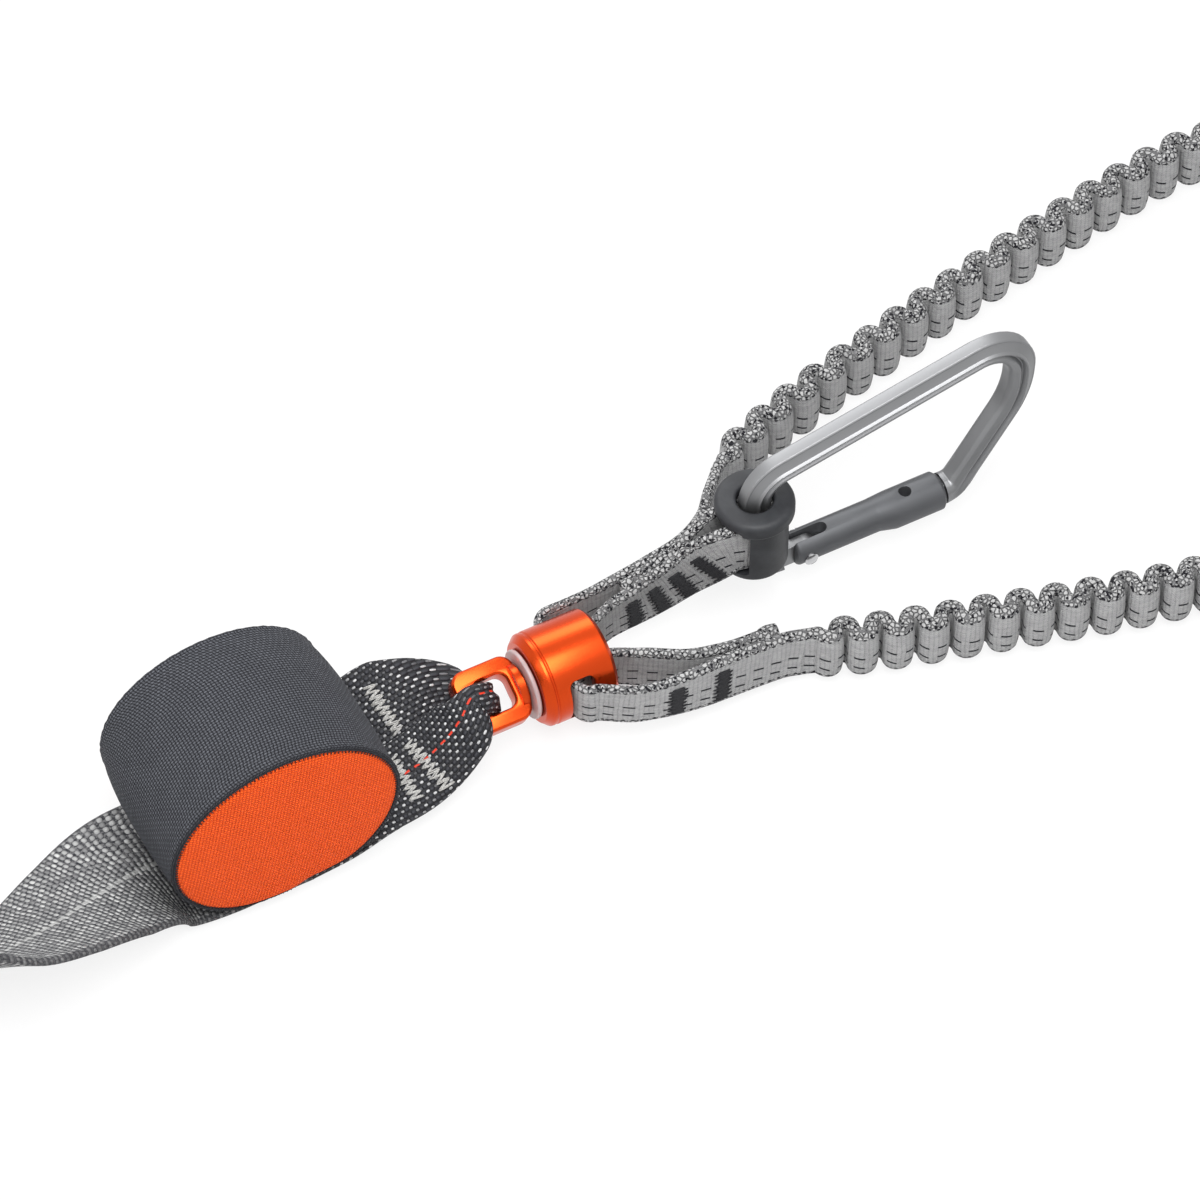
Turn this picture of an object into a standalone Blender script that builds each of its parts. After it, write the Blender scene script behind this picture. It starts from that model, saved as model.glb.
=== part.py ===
"""Via ferrata lanyard: energy absorber pouch, swivel, short leash with its carabiner, and two elastic arms.

Metres, +Z up. The load runs along +X from the absorber to the arms. The origin is the middle of the
flat underside of the webbing below the pouch, on the surface that the lanyard lies on.
"""

import math

import bmesh
import bpy
from mathutils import Matrix, Vector

# Clearances
SEAT_GAP = 0.0003
LAYER_GAP = 0.0004
CUT_OVERRUN = 0.002
ROUND_SEGMENTS = 36
SMALL_SEGMENTS = 10
STEM_SEGMENTS = 24
WASHER_SEGMENTS = 32
NUT_SEGMENTS = 12
KEEPER_SEGMENTS = 20
GATE_SEGMENTS = 18
CORNER_STEPS = 5
TURN_STEPS = 8
FOLD_STEPS = 3
HARNESS_TURN_STEPS = 10
FINE_STEPS = 4
SMOOTH_ANGLE = math.radians(35)
FLAT_ANGLE = math.radians(0.5)
WELD_DISTANCE = SEAT_GAP / 30
FIRST_TURN = 90
SECOND_TURN = 180
THIRD_TURN = 270

# Pouch
POUCH_CENTRE = 0.0008
POUCH_HALF_LENGTH = 0.0308
POUCH_HALF_HEIGHT = 0.0270
POUCH_FLOOR_GAP = 0.0005
POUCH_CLOTH = 0.0011
PANEL_CROWN = 0.0014
BAND_EDGE_ROUND = 0.0007
BAND_EDGE_LAP = 0.0012
POUCH_RING_POINTS = 36

# Absorber webbing
WEBBING_WIDTH = 0.0420
WEBBING_THICKNESS = 0.0022
GATHERED_THICKNESS = 0.0042
TIE_IN_END = 0.0050
PACK_WIDTH = 0.0380
PACK_PITCH = 0.0052
PACK_FILL_SHARE = 0.74
PACK_LAYERS = 8
SELVEDGE_SHARE = 0.7
PANEL_RING_SHARES = (1.0, 0.93, 0.66, 0.3)
BAND_INSET_SHARES = (1.0, 0, 0, 1.0)
BAND_DEPTH_SHARES = (1.0, 0.94, -0.94, -1.0)
TIE_IN_RETURN_GAP = 0.0008

# Swivel
SWIVEL_HEIGHT = 0.0130
BARREL_CENTRE = 0.0880
BARREL_LENGTH = 0.0200
BARREL_RADIUS = 0.0125
BARREL_WALL = 0.0029
BARREL_END_WALL = 0.0055
BARREL_CHAMFER = 0.0012
STEM_RADIUS = 0.0040
STEM_THREAD_RADIUS = 0.0028
NUT_RADIUS = 0.0052
NUT_THICKNESS = 0.0018
INNER_WASHER_RADIUS = 0.0075
INNER_WASHER_THICKNESS = 0.0008
EYE_WASHER_RADIUS = 0.0098
EYE_WASHER_THICKNESS = 0.0012
RIM_STRIP_LENGTH = 0.0065
WINDOW_LENGTH = 0.0069
WINDOW_HALF_HEIGHT = 0.0073
EYE_LENGTH = 0.0170
EYE_WIDTH = 0.0174
EYE_THICKNESS = 0.0060
EYE_BEVEL = 0.0012
EYE_CORNER = 0.0050
EYE_BAR = 0.0048
EYE_HOLE_LENGTH = 0.0090
EYE_HOLE_WIDTH = 0.0092
EYE_HOLE_CORNER = 0.0030
EYE_COLLAR_RADIUS = 0.0062
EYE_ROLL = math.radians(25)

# Leash and arm webbing
BAND_WIDTH = 0.0170
BAND_THICKNESS = 0.0022
BAND_WINDOW_WIDTH = 0.0138
BAND_INSIDE_OFFSET = 0.0048
BAND_STEP = 0.0025
ARM_WIDTH = 0.0185
ARM_THICKNESS = 0.0024
ARM_HALF_SWING = 0.0030
ARM_PITCH = 0.0084
POINTS_PER_WAVE = 8
ARM_HEIGHT = 0.0100
ARM_TAIL = 0.0035

# Carabiner section, shared by the leash carabiner and the end connectors
BAR_DEPTH = 0.0076
BAR_HEIGHT = 0.0074
BAR_GROOVE = 0.0008
BAR_FLAT_SHARE = 0.60
BAR_CHEEK_SHARE = 0.55
BAR_GROOVE_SHARE = 0.22
HINGE_LUG = 0.0028
LUG_RADIUS = 0.0034
RIVET_RADIUS = 0.0012
RIVET_HEAD_RADIUS = 0.0020
RIVET_HEAD_HEIGHT = 0.0005
RIVET_CROWN_SHARE = 0.7
RIVET_SIDE_SHARE = 0.3
PIN_CLEARANCE = 0.0003
GATE_RADIUS = 0.0052
GATE_NECK_RADIUS = 0.0045
GATE_EAR_REACH = 0.0034
GATE_FORK_DEPTH = 0.0050
GATE_BORE_RADIUS = 0.0022
GATE_BORE_DEPTH = 0.0190
GATE_STEP_SHARE = 0.62
PLUNGER_RADIUS = 0.0016
PLUNGER_LENGTH = 0.0110
NOSE_TONGUE_LENGTH = 0.0046
NOSE_TONGUE_WIDTH = 0.0036
NOSE_TONGUE_HEIGHT = 0.0056
NOSE_GAP = 0.0005

# Leash carabiner, in its own plane: x along the leash, y up
LEASH_BAR_X = 0.1465
LEASH_BAR_Y = 0.0075
LEASH_GATE_HEIGHT = 0.0105
LEASH_BAR_TOP = 0.0450
LEASH_HINGE_REACH = 0.0145
LEASH_TIP_REACH = 0.0765
LEASH_TIP_HEIGHT = 0.0622
LEASH_NOSE_REACH = 0.0548
LEASH_SIDE = (0.0756, 0.0385)
LEASH_FOOT_REACH = 0.0584
LEASH_CORNER_RADII = (0.0044, 0.0089, 0.0110, 0.0270, 0.0045)

# Keeper
KEEPER_CAVITY_RADIUS = 0.0072
KEEPER_WALL = 0.0016
KEEPER_COLLAR_RADIUS = 0.0103
KEEPER_COLLAR_HEIGHT = 0.0038
KEEPER_CHAMFER = 0.0010
KEEPER_BORE_RADIUS = 0.0047
KEEPER_HALF_HEIGHT = 0.0116
KEEPER_HEIGHT_ABOVE = 0.0270
WRAP_RADIUS = 0.0057

# End connectors, in their own plane: x along the arm, y toward the spine
END_GATE_SIDE = -0.0250
END_SPINE_SIDE = 0.0200
END_TIP_REACH = 0.0970
END_SHOULDER = 0.0340
END_HINGE_REACH = 0.0140
END_NOSE_REACH = 0.0720
END_TIP_SIDE = -0.0088
END_FOOT_REACH = 0.0815
END_CORNER_RADII = (0.0067, 0.0089, 0.0222, 0.0222, 0.0067)
END_LOOP_LENGTH = 0.0420
END_TWIST_LENGTH = 0.0200
END_BAR_HEIGHT = 0.0106
END_TILT = math.radians(3.85)
END_STRAP_CENTRE = -0.0020
LEVER_REACH = 0.0480
LEVER_START = 0.0160
LEVER_WALL = 0.0014
LEVER_TRAVEL_GAP = 0.0034
LEVER_CLEARANCE = 0.0005
LEVER_CHEEK = 0.0062
LEVER_EAR_REACH = 0.0032
LEVER_EAR_DROP = 0.0024
END_LOOP_STATIONS = 14
END_LOOP_SPLIT = 0.0171

UP = Vector((0, 0, 1))
SIDE_AXIS = Vector((0, 1, 0))
POUCH_CENTRE_HEIGHT = POUCH_FLOOR_GAP + POUCH_HALF_HEIGHT
PANEL_INSIDE = WEBBING_WIDTH / 2 + SEAT_GAP
POUCH_HALF_DEPTH = PANEL_INSIDE + BAND_EDGE_LAP
BARREL_START = BARREL_CENTRE - BARREL_LENGTH / 2
BARREL_END = BARREL_CENTRE + BARREL_LENGTH / 2
CUP_RADIUS = BARREL_RADIUS - BARREL_WALL
WINDOW_END = BARREL_END - RIM_STRIP_LENGTH
WRAP_CENTRE_X = WINDOW_END - SEAT_GAP
BAND_OUTSIDE_OFFSET = BARREL_RADIUS + SEAT_GAP + BAND_THICKNESS / 2
EYE_WASHER_START = BARREL_START - SEAT_GAP - EYE_WASHER_THICKNESS
EYE_END = EYE_WASHER_START - SEAT_GAP
EYE_START = EYE_END - EYE_LENGTH
KEEPER_RADIUS = KEEPER_CAVITY_RADIUS + KEEPER_WALL
CAVITY_HALF_HEIGHT = BAND_WIDTH / 2 + SEAT_GAP * 2

# Routes of the soft pieces, chosen by hand: x, y, height of the middle of the width
UPPER_JOIN = (0.1515, 0.0355)
LOWER_JOIN = (0.1450, -0.0218)
UPPER_BACK_ROUTE = (
    (*UPPER_JOIN, ARM_HEIGHT),
    (0.1450, 0.0285, 0.0115),
    (0.1385, 0.0208, 0.0140),
    (0.1300, 0.0153, 0.0160),
    (0.1200, 0.0140, 0.0148),
    (0.1080, 0.0140, 0.0134),
)
UPPER_FRONT_ROUTE = (
    (0.1060, 0.0080, 0.0131),
    (0.1170, 0.0087, 0.0145),
    (0.1280, 0.0076, 0.0195),
    (0.1370, 0.0042, 0.0266),
)
UPPER_RETURN_ROUTE = (
    (0.1370, 0.0116, 0.0266),
    (0.1280, 0.0108, 0.0195),
    (0.1170, 0.0113, 0.0145),
    (0.1110, 0.0111, 0.0138),
)
LOWER_FRONT_ROUTE = (
    (0.1000, -0.0185, 0.0125),
    (0.1120, -0.0203, 0.0120),
    (0.1260, -0.0204, 0.0112),
    (0.1390, -0.0207, 0.0105),
    (*LOWER_JOIN, ARM_HEIGHT),
)
LOWER_BACK_ROUTE = (
    (0.1390, -0.0179, 0.0112),
    (0.1260, -0.0174, 0.0116),
    (0.1160, -0.0150, 0.0122),
    (0.1060, -0.0090, 0.0128),
)
UPPER_ARM_ROUTE = (
    UPPER_JOIN,
    (0.1590, 0.0404),
    (0.1800, 0.0480),
    (0.2120, 0.0563),
    (0.2450, 0.0640),
    (0.2863, 0.0720),
    (0.3080, 0.0752),
    (0.3280, 0.0760),
)
LOWER_ARM_ROUTE = (
    LOWER_JOIN,
    (0.1569, -0.0258),
    (0.1760, -0.0318),
    (0.1960, -0.0376),
    (0.2200, -0.0446),
    (0.2426, -0.0500),
    (0.2700, -0.0544),
    (0.3000, -0.0559),
    (0.3200, -0.0559),
)
TIE_IN_ROUTE = (
    (-0.0050, 0.0000, 0.0011),
    (-0.0150, 0.0000, 0.0011),
    (-0.0300, -0.0010, 0.0024),
    (-0.0450, -0.0066, 0.0068),
    (-0.0600, -0.0117, 0.0112),
    (-0.0750, -0.0158, 0.0151),
    (-0.0900, -0.0180, 0.0197),
    (-0.1020, -0.0187, 0.0212),
)
TIE_IN_ROLLS = (0, 0, 3, 15, 28, 41, 65, 90)
HARNESS_LOOP_RADIUS = 0.0170
HARNESS_LOOP_REACH = 0.0300
HARNESS_SEWN_LENGTH = 0.0140
HARNESS_SEWN_SHARE = 0.6
HARNESS_FLARE_SHARES = (0.6, 0.62)

# Stations of the black webbing: x, y, z, width, thickness, roll in degrees
LOWER_LEG_STATIONS = (
    (0.0072, 0.0000, 0.0011, 0.0420, 0.0022, 0),
    (0.0190, 0.0004, 0.0012, 0.0410, 0.0022, 0),
    (0.0290, 0.0018, 0.0048, 0.0410, 0.0022, 9),
    (0.0390, 0.0034, 0.0084, 0.0405, 0.0022, 18),
    (0.0480, 0.0044, 0.0103, 0.0380, 0.0022, 25),
    (0.0540, 0.0055, 0.0099, 0.0290, 0.0026, 26),
    (0.0588, 0.0041, 0.0088, 0.0165, 0.0034, 25),
)
UPPER_LEG_STATIONS = (
    (0.0578, -0.0052, 0.0160, 0.0135, 0.0037, 28),
    (0.0535, -0.0064, 0.0136, 0.0190, 0.0030, 29),
    (0.0470, -0.0058, 0.0114, 0.0240, 0.0025, 26),
    (0.0400, -0.0036, 0.0103, 0.0290, 0.0022, 19),
    (0.0300, -0.0010, 0.0079, 0.0365, 0.0022, 9),
    (0.0200, 0.0000, 0.0040, 0.0400, 0.0022, 0),
    (0.0080, 0.0000, 0.0036, 0.0410, 0.0022, 0),
)

PART_COLLECTION = "via_ferrata_lanyard"
CUTTER_COLLECTION = "cutters"


def clear_scene():
    for obj in list(bpy.data.objects):
        bpy.data.objects.remove(obj, do_unlink=True)


def collection(name):
    found = bpy.data.collections.get(name)
    if found is None:
        found = bpy.data.collections.new(name)
        bpy.context.scene.collection.children.link(found)
    return found


def material(name, colour, roughness, metallic=0.0):
    made = bpy.data.materials.new(name)
    made.use_nodes = True
    shader = made.node_tree.nodes["Principled BSDF"]
    shader.inputs["Base Color"].default_value = (*colour, 1.0)
    shader.inputs["Roughness"].default_value = roughness
    shader.inputs["Metallic"].default_value = metallic
    return made


def add_object(name, data, mat, matrix=None):
    obj = bpy.data.objects.new(name, data)
    collection(PART_COLLECTION).objects.link(obj)
    if mat is not None:
        data.materials.clear()
        data.materials.append(mat)
    if matrix is not None:
        obj.matrix_world = matrix
    return obj


def as_cutter(obj):
    collection(PART_COLLECTION).objects.unlink(obj)
    collection(CUTTER_COLLECTION).objects.link(obj)
    obj.hide_render = True
    obj.display_type = "WIRE"
    return obj


def shade(mesh):
    mesh.shade_smooth()
    mesh.set_sharp_from_angle(angle=SMOOTH_ANGLE)


def mesh_of(bm, name):
    bmesh.ops.recalc_face_normals(bm, faces=bm.faces)
    mesh = bpy.data.meshes.new(name)
    bm.to_mesh(mesh)
    bm.free()
    shade(mesh)
    return mesh


def baked(obj):
    """The object as plain mesh data, with its modifiers applied and its caps welded."""
    bpy.context.view_layer.update()
    depsgraph = bpy.context.evaluated_depsgraph_get()
    mesh = bpy.data.meshes.new_from_object(obj.evaluated_get(depsgraph))
    bm = bmesh.new()
    bm.from_mesh(mesh)
    bmesh.ops.remove_doubles(bm, verts=bm.verts, dist=WELD_DISTANCE)
    bmesh.ops.recalc_face_normals(bm, faces=bm.faces)
    bm.to_mesh(mesh)
    bm.free()
    shade(mesh)
    return mesh


def replaced_by_mesh(obj):
    """The same object, name, place and material, as a mesh."""
    name = obj.name
    mat = obj.active_material
    matrix = obj.matrix_world.copy()
    mesh = baked(obj)
    bpy.data.objects.remove(obj, do_unlink=True)
    return add_object(name, mesh, mat, matrix)


def box(name, low, high, mat=None, matrix=None):
    bm = bmesh.new()
    bmesh.ops.create_cube(bm, size=1.0)
    size = Vector(high) - Vector(low)
    middle = (Vector(high) + Vector(low)) / 2
    bmesh.ops.transform(bm, matrix=Matrix.Translation(middle) @ Matrix.Diagonal((*size, 1)), verts=bm.verts)
    return add_object(name, mesh_of(bm, name), mat, matrix)


def cylinder(name, radius, start, end, mat=None, matrix=None, segments=SMALL_SEGMENTS):
    """A cylinder along any line from start to end."""
    along = Vector(end) - Vector(start)
    bm = bmesh.new()
    bmesh.ops.create_cone(
        bm, cap_ends=True, segments=segments, radius1=radius, radius2=radius, depth=along.length
    )
    turn = UP.rotation_difference(along).to_matrix().to_4x4()
    middle = Matrix.Translation((Vector(start) + Vector(end)) / 2)
    bmesh.ops.transform(bm, matrix=middle @ turn, verts=bm.verts)
    return add_object(name, mesh_of(bm, name), mat, matrix)


def turned(name, profile, mat, matrix, segments=ROUND_SEGMENTS):
    """A turned piece: profile is a closed loop of (radius, height), down its outer side first."""
    mesh = bpy.data.meshes.new(name)
    points = [(radius, 0, height) for radius, height in profile]
    edges = [(i, (i + 1) % len(points)) for i in range(len(points))]
    mesh.from_pydata(points, edges, [])
    obj = add_object(name, mesh, mat, matrix)
    screw = obj.modifiers.new("turn", "SCREW")
    screw.steps = segments
    screw.render_steps = segments
    screw.use_merge_vertices = True
    screw.merge_threshold = WELD_DISTANCE
    return replaced_by_mesh(obj)


def boolean(obj, other, operation):
    step = obj.modifiers.new(operation.lower(), "BOOLEAN")
    step.operation = operation
    step.solver = "EXACT"
    step.object = other


def cut(obj, *cutters):
    for other in cutters:
        boolean(obj, as_cutter(other), "DIFFERENCE")
    return obj


def joined(obj, *others):
    for other in others:
        boolean(obj, as_cutter(other), "UNION")
    return obj


def arc(centre, radius, start, end, steps):
    """Points on an arc in a plane, angles in degrees."""
    return [
        (
            centre[0] + radius * math.cos(math.radians(start + (end - start) * i / steps)),
            centre[1] + radius * math.sin(math.radians(start + (end - start) * i / steps)),
        )
        for i in range(steps + 1)
    ]


def rounded_path(corners, radii, steps):
    """An open path through corners, with an arc of the given radius at each inner corner."""
    points = [Vector(corners[0])]
    for before, corner, after, radius in zip(corners, corners[1:], corners[2:], radii):
        corner = Vector(corner)
        back = (Vector(before) - corner).normalized()
        ahead = (Vector(after) - corner).normalized()
        half = back.angle(ahead) / 2
        centre = corner + (back + ahead).normalized() * radius / math.sin(half)
        reach = radius / math.tan(half)
        first = corner + back * reach - centre
        last = corner + ahead * reach - centre
        sweep = first.angle_signed(last)
        for i in range(steps + 1):
            points.append(centre + Matrix.Rotation(-sweep * i / steps, 2) @ first)
    points.append(Vector(corners[-1]))
    return points


def smooth_route(points, step):
    """Points about a step apart on a smooth curve through the given ones."""
    points = [Vector(p) for p in points]
    ends = [points[0] * 2 - points[1]] + points + [points[-1] * 2 - points[-2]]
    fine = []
    for a, b, c, d in zip(ends, ends[1:], ends[2:], ends[3:]):
        count = max(2, round((c - b).length / step) * FINE_STEPS)
        for i in range(count):
            t = i / count
            fine.append(
                (b * 2 + (c - a) * t + (a * 2 - b * 5 + c * 4 - d) * t * t + (b * 3 - a - c * 3 + d) * t**3) / 2
            )
    fine.append(points[-1])
    lengths = [0]
    for a, b in zip(fine, fine[1:]):
        lengths.append(lengths[-1] + (b - a).length)
    count = max(1, round(lengths[-1] / step))
    route = []
    index = 0
    for i in range(count + 1):
        wanted = lengths[-1] * i / count
        while index < len(fine) - 2 and lengths[index + 1] < wanted:
            index += 1
        span = lengths[index + 1] - lengths[index]
        route.append(fine[index].lerp(fine[index + 1], (wanted - lengths[index]) / span))
    return route


def strap_ring(centre, across, normal, width, thickness):
    """A webbing section: flat faces and pointed selvedges."""
    half_width = width / 2
    half_thickness = thickness / 2
    flat = half_width - half_thickness * SELVEDGE_SHARE
    corners = (
        (-half_width, 0),
        (-flat, -half_thickness),
        (flat, -half_thickness),
        (half_width, 0),
        (flat, half_thickness),
        (-flat, half_thickness),
    )
    return [centre + across * u + normal * v for u, v in corners]


def loft(name, rings, mat):
    """A closed solid through rings of equal count, with flat ends."""
    bm = bmesh.new()
    rows = [[bm.verts.new(point) for point in ring] for ring in rings]
    count = len(rows[0])
    for row, after in zip(rows, rows[1:]):
        for i in range(count):
            bm.faces.new((row[i], row[(i + 1) % count], after[(i + 1) % count], after[i]))
    bm.faces.new(rows[0])
    bm.faces.new(rows[-1])
    bmesh.ops.connect_verts_nonplanar(bm, angle_limit=FLAT_ANGLE, faces=bm.faces)
    return add_object(name, mesh_of(bm, name), mat)


def tangents(points):
    ahead = points[1:] + [points[-1] * 2 - points[-2]]
    behind = [points[0] * 2 - points[1]] + points[:-1]
    return [(a - b).normalized() for a, b in zip(ahead, behind)]


def strap(name, points, widths, thicknesses, rolls, mat):
    """A strap along points. Roll 0 lies flat, 90 degrees stands on edge."""
    rings = []
    for point, along, width, thickness, roll in zip(points, tangents(points), widths, thicknesses, rolls):
        level = UP.cross(along).normalized()
        upright = along.cross(level)
        across = level * math.cos(roll) + upright * math.sin(roll)
        rings.append(strap_ring(point, across, along.cross(across), width, thickness))
    return loft(name, rings, mat)


def edge_strap(name, points, widths, thickness, mat):
    """A strap that stands on edge all the way: its width is upright."""
    rings = []
    for point, along, width in zip(points, tangents(points), widths):
        level = Vector((along.x, along.y, 0)).normalized()
        rings.append(strap_ring(point, UP, level.cross(UP), width, thickness))
    return loft(name, rings, mat)


def oval(half_length, half_height, count):
    return [
        (half_length * math.cos(math.tau * i / count), half_height * math.sin(math.tau * i / count))
        for i in range(count)
    ]


def side_band(mat):
    """The pouch's band: an oval sleeve that dives inward at both seams, open at the bottom."""
    bm = bmesh.new()
    rows = []
    for inset, depth in zip(BAND_INSET_SHARES, BAND_DEPTH_SHARES):
        shrink = BAND_EDGE_ROUND * inset
        ring = oval(POUCH_HALF_LENGTH - shrink, POUCH_HALF_HEIGHT - shrink, POUCH_RING_POINTS)
        y = POUCH_HALF_DEPTH * depth
        rows.append([bm.verts.new((POUCH_CENTRE + x, y, POUCH_CENTRE_HEIGHT + z)) for x, z in ring])
    for row, after in zip(rows, rows[1:]):
        for i in range(POUCH_RING_POINTS):
            j = (i + 1) % POUCH_RING_POINTS
            bm.faces.new((row[i], row[j], after[j], after[i]))
    obj = add_object("pouch_side_band", mesh_of(bm, "pouch_side_band"), mat)
    wall = obj.modifiers.new("cloth", "SOLIDIFY")
    wall.thickness = POUCH_CLOTH
    wall.offset = -1
    obj = replaced_by_mesh(obj)
    reach = POUCH_HALF_LENGTH
    depth = POUCH_HALF_DEPTH + CUT_OVERRUN
    webbing_top = WEBBING_THICKNESS + SEAT_GAP
    loop_top = webbing_top + WEBBING_THICKNESS + SEAT_GAP * 3
    left = box("band_opening_left", (-reach, -depth, -CUT_OVERRUN), (0, depth, webbing_top))
    right = box("band_opening_right", (-CUT_OVERRUN, -depth, -CUT_OVERRUN), (reach, depth, loop_top))
    return replaced_by_mesh(cut(obj, left, right))


def end_panel(name, side, mat):
    """An oval end panel that bulges a little, set inside the band's turned-in edge."""
    rim = PANEL_INSIDE + POUCH_CLOTH
    margin = BAND_EDGE_ROUND + POUCH_CLOTH + SEAT_GAP
    bm = bmesh.new()
    rows = []
    for share in PANEL_RING_SHARES:
        bulge = PANEL_CROWN * (1 - share**2)
        half_length = (POUCH_HALF_LENGTH - margin) * share
        half_height = (POUCH_HALF_HEIGHT - margin) * share
        ring = oval(half_length, half_height, POUCH_RING_POINTS)
        y = side * (rim + bulge)
        rows.append([bm.verts.new((POUCH_CENTRE + x, y, POUCH_CENTRE_HEIGHT + z)) for x, z in ring])
    for row, after in zip(rows, rows[1:]):
        for i in range(POUCH_RING_POINTS):
            j = (i + 1) % POUCH_RING_POINTS
            bm.faces.new((row[i], row[j], after[j], after[i]))
    bm.faces.new(rows[-1])
    bmesh.ops.recalc_face_normals(bm, faces=bm.faces)
    mesh = bpy.data.meshes.new(name)
    bm.normal_update()
    if bm.faces[-1:][0].normal.y * side < 0:
        bmesh.ops.reverse_faces(bm, faces=bm.faces)
    bm.to_mesh(mesh)
    bm.free()
    obj = add_object(name, mesh, mat)
    wall = obj.modifiers.new("cloth", "SOLIDIFY")
    wall.thickness = POUCH_CLOTH
    wall.offset = -1
    return replaced_by_mesh(obj)


def tear_pack(mat):
    """The tearing webbing, folded back and forth; each layer is as long as the oval lets it be."""
    base = WEBBING_THICKNESS + SEAT_GAP + WEBBING_THICKNESS + SEAT_GAP + WEBBING_THICKNESS / 2
    points = []
    for layer in range(PACK_LAYERS):
        height = base + layer * PACK_PITCH
        offset = (height - POUCH_CENTRE_HEIGHT) / POUCH_HALF_HEIGHT
        span = PACK_FILL_SHARE * POUCH_HALF_LENGTH * math.sqrt(max(0, 1 - offset**2)) - PACK_PITCH / 2
        side = 1 if layer % 2 == 0 else -1
        points.append((-side * span / 2, height))
        points.append((side * span / 2, height))
        if layer < PACK_LAYERS - 1:
            centre = (side * span, height + PACK_PITCH / 2)
            bend = arc(centre, PACK_PITCH / 2, -FIRST_TURN, FIRST_TURN, FOLD_STEPS)
            points += [(side * span + side * abs(x - side * span), z) for x, z in bend]
    points = [Vector((POUCH_CENTRE + x, 0, z)) for x, z in points]
    rings = []
    for point, along in zip(points, tangents(points)):
        rings.append(strap_ring(point, SIDE_AXIS, SIDE_AXIS.cross(along), PACK_WIDTH, WEBBING_THICKNESS))
    return loft("tear_pack", rings, mat)


def tie_in_webbing(mat):
    """Flat under the pouch, a quarter turn onto its edge, then a loop that returns to be sewn to itself."""
    rolls = [math.radians(roll) for roll in TIE_IN_ROLLS]
    start = Vector((TIE_IN_END, 0, WEBBING_THICKNESS / 2))
    route = smooth_route((start, *TIE_IN_ROUTE), WEBBING_THICKNESS * 3)
    last = Vector(TIE_IN_ROUTE[-1])
    points = route[:]
    keyed = [start.x] + [p[0] for p in TIE_IN_ROUTE]
    key_rolls = [0] + rolls
    station_rolls = [interpolated(point.x, keyed, key_rolls) for point in points]
    radius = HARNESS_LOOP_RADIUS
    gap = WEBBING_THICKNESS + TIE_IN_RETURN_GAP
    far = last.x - HARNESS_SEWN_LENGTH - HARNESS_LOOP_REACH - radius
    near = last.x - HARNESS_SEWN_LENGTH
    middle = last.y + gap / 2
    sewn_end = last.x - HARNESS_SEWN_LENGTH * HARNESS_SEWN_SHARE
    flare_x = near - radius * HARNESS_FLARE_SHARES[0]
    flare_y = radius * HARNESS_FLARE_SHARES[1]
    plan = (
        (sewn_end, last.y),
        (flare_x, middle - flare_y),
        *arc((far, middle), radius, THIRD_TURN, FIRST_TURN, HARNESS_TURN_STEPS),
        (flare_x, middle + flare_y),
        (sewn_end, last.y + gap),
        (last.x, last.y + gap),
    )
    turns = [(last.x, last.y, last.z)] + [(x, y, last.z) for x, y in plan]
    loop = smooth_route(turns, WEBBING_THICKNESS * 3)
    points += loop[1:]
    station_rolls += [math.radians(TIE_IN_ROLLS[-1])] * (len(points) - len(station_rolls))
    return loop_strap("tie_in_webbing", points, station_rolls, mat)


def interpolated(value, keys, values):
    """Linear between keys, which may rise or fall."""
    for low, high, first, last in zip(keys, keys[1:], values, values[1:]):
        if min(low, high) <= value <= max(low, high):
            return first + (last - first) * (value - low) / (high - low)
    return values[-1] if abs(value - keys[-1]) < abs(value - keys[0]) else values[0]


def loop_strap(name, points, rolls, mat):
    widths = [WEBBING_WIDTH] * len(points)
    thicknesses = [WEBBING_THICKNESS] * len(points)
    return strap(name, points, widths, thicknesses, rolls, mat)


def eye_frame():
    """Where the eye plate lies: its middle plane is rolled about the load axis."""
    return Matrix.Translation((0, 0, SWIVEL_HEIGHT)) @ Matrix.Rotation(EYE_ROLL, 4, "X")


def leg_stations(rows):
    return [(Vector((x, y, z)), width, depth, math.radians(roll)) for x, y, z, width, depth, roll in rows]


def absorber_loop_webbing(mat):
    """From the pouch under the eye plate, up through its hole, round its end bar and back on top."""
    frame = eye_frame()
    bar_middle = EYE_START + EYE_BAR / 2
    turn_radius = EYE_THICKNESS / 2 + SEAT_GAP * 2 + GATHERED_THICKNESS / 2
    width = EYE_HOLE_WIDTH - SEAT_GAP * 2
    stations = leg_stations(LOWER_LEG_STATIONS)
    for x, z in arc((bar_middle, 0), turn_radius, -FIRST_TURN, FIRST_TURN, TURN_STEPS):
        stations.append((frame @ Vector((x, 0, z)), width, GATHERED_THICKNESS, EYE_ROLL))
    stations += leg_stations(UPPER_LEG_STATIONS)
    rings = []
    for (point, w, t, roll), along in zip(stations, tangents([station[0] for station in stations])):
        across = Vector((0, math.cos(roll), math.sin(roll)))
        normal = across.cross(along).normalized()
        across = along.cross(normal).normalized()
        rings.append(strap_ring(point, across, normal, w, t))
    return loft("absorber_loop_webbing", rings, mat)


def plate_outline(length, width, corner, start):
    """A rounded rectangle in plan, from start along X and centred across."""
    half = width / 2
    points = []
    for centre, angle in (
        ((start + length - corner, half - corner), 0),
        ((start + corner, half - corner), FIRST_TURN),
        ((start + corner, corner - half), SECOND_TURN),
        ((start + length - corner, corner - half), THIRD_TURN),
    ):
        points += arc(centre, corner, angle, angle + FIRST_TURN, CORNER_STEPS)
    return points


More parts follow.
